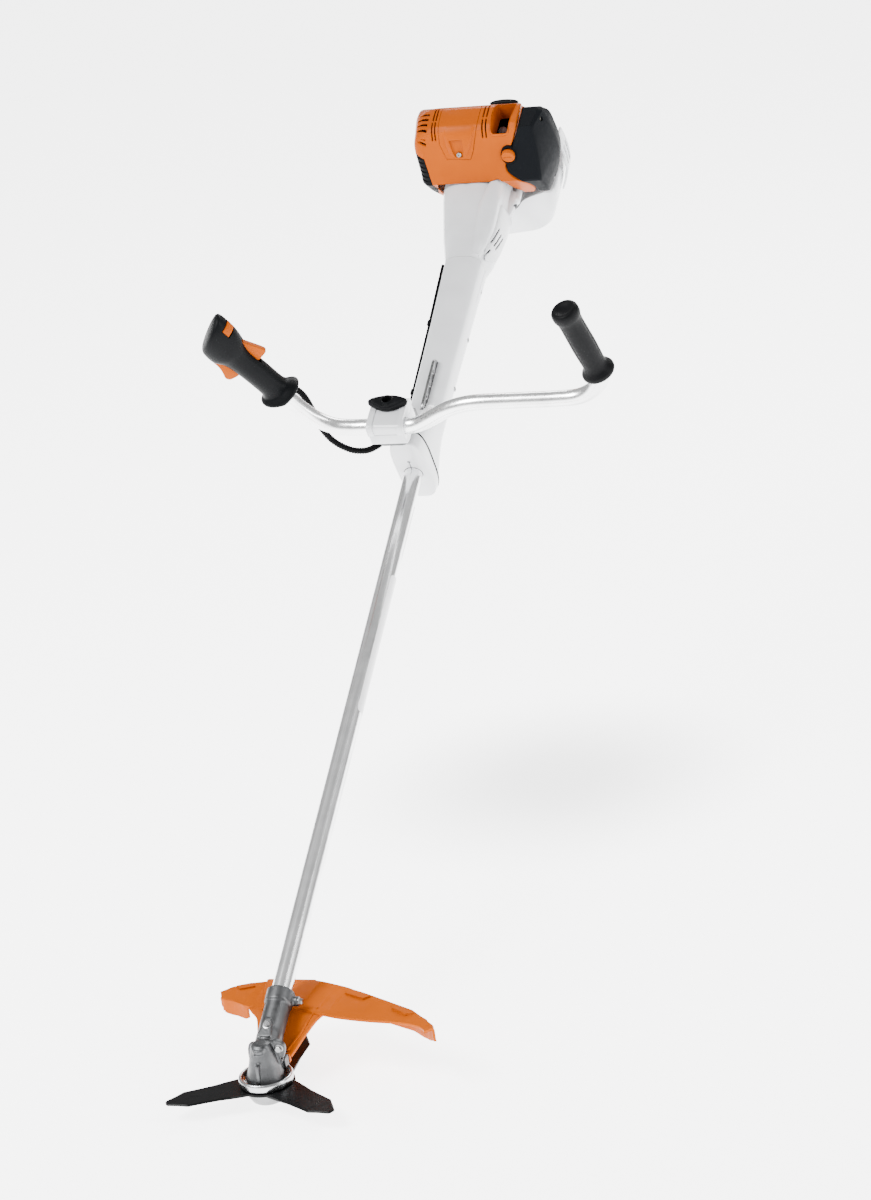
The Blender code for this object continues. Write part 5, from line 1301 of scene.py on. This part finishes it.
# --- surroundings ----------------------------------------------------------------------------
def area_light(name, place, aim, size, power):
    data = bpy.data.lights.new(name, "AREA")
    data.shape = "RECTANGLE"
    data.size, data.size_y = size
    data.energy = power
    light = added(name, data)
    light.location = place
    light.rotation_euler = (Vector(place) - Vector(aim)).to_track_quat("Z", "Y").to_euler()


def studio():
    """A pale sweep that glows behind the machine and fades in front of it, under large soft lights; its glow dips
    in a soft painted shadow under the knife.
    """
    floor_mesh = bpy.data.meshes.new("studio_floor")
    floor_mesh.from_pydata([(-30, -30, 0), (30, -30, 0), (30, 30, 0), (-30, 30, 0)], [], [(0, 1, 2, 3)])
    floor = added("studio_floor", floor_mesh)
    floor.location.z = CAD_LOW[2] - 0.001
    pale = Finish("pale_floor", 0.95)
    pale.tones(pale.noise(0.7, 2), (0.80, 0.80, 0.80), (0.82, 0.82, 0.82))
    pale.shader.inputs["Emission Color"].default_value = (1, 1, 1, 1)
    pale.shader.inputs["Specular IOR Level"].default_value = 0.0
    apart = pale.node("ShaderNodeSeparateXYZ")
    pale.link(pale.place, apart.inputs[0])
    # A soft round painted shadow: the floor's glow is dimmed near a point under the knife.
    away = pale.node("ShaderNodeVectorMath", operation="DISTANCE")
    away.inputs[1].default_value = (0.10, 0.02, 0)
    pale.link(pale.place, away.inputs[0])
    glow = pale.node("ShaderNodeMath", operation="MULTIPLY")
    sweep = pale.mapped(apart.outputs["Y"], (-5.0, -0.8), (1.4, 4.6), "SMOOTHSTEP")
    painted_contact_shadow = pale.mapped(away.outputs["Value"], (0.02, 0.36), (0.42, 1.0), "SMOOTHSTEP")
    pale.link(sweep, glow.inputs[0])
    pale.link(painted_contact_shadow, glow.inputs[1])
    pale.link(glow.outputs["Value"], pale.shader.inputs["Emission Strength"])
    floor_mesh.materials.append(pale.material)
    world = bpy.data.worlds.new("studio_grey")
    world.use_nodes = True
    world.node_tree.nodes["Background"].inputs["Color"].default_value = (1, 1, 1, 1)
    world.node_tree.nodes["Background"].inputs["Strength"].default_value = 0.55
    bpy.context.scene.world = world
    middle = (0, 0.05, -0.1)
    area_light("key", (-1.7, -2.0, 2.6), middle, (1.6, 1.6), 230)
    area_light("side", (2.6, -0.8, 1.2), middle, (0.5, 2.6), 70)
    area_light("rim", (0.2, 2.6, 2.2), middle, (2.4, 1.0), 100)


def camera():
    """A long lens from the front right, a little above, rolled slightly; set out from the gear centre."""
    azimuth, elevation, roll = radians(19.351), radians(19.846), radians(-7.926)
    aim = GEAR_CENTRE + Vector((310.78, -32.05, 605.05)) / 1000
    back = Vector((sin(azimuth) * cos(elevation), -cos(azimuth) * cos(elevation), sin(elevation)))
    right = Vector((cos(azimuth), sin(azimuth), 0))
    up = back.cross(right)
    across = right * cos(roll) + up * sin(roll)
    rise = up * cos(roll) - right * sin(roll)
    data = bpy.data.cameras.new("catalogue_camera")
    data.lens = 107.67
    data.clip_end = 100
    eye = added("catalogue_camera", data)
    facing = Matrix((across, rise, back)).transposed().to_4x4()
    eye.matrix_world = Matrix.Translation(aim + back * 4.0054) @ facing
    bpy.context.scene.camera = eye


def main():
    gear_head()
    knife()
    guard_shell()
    tube()
    label_wrap("blank_label_upper", 802, 897, -26, -2)
    label_wrap("blank_label_lower", 535, 765, -34, 10)
    casing()
    clamp_and_screw()
    bar_and_plain_grip()
    control_grip()
    cable()
    clutch_cover()
    vent_panel()
    shroud()
    plug_panel()
    muffler_grille()
    air_cover()
    primer()
    tank_and_foot()
    starter()
    paint_inner_nodes()
    studio()
    camera()


main()
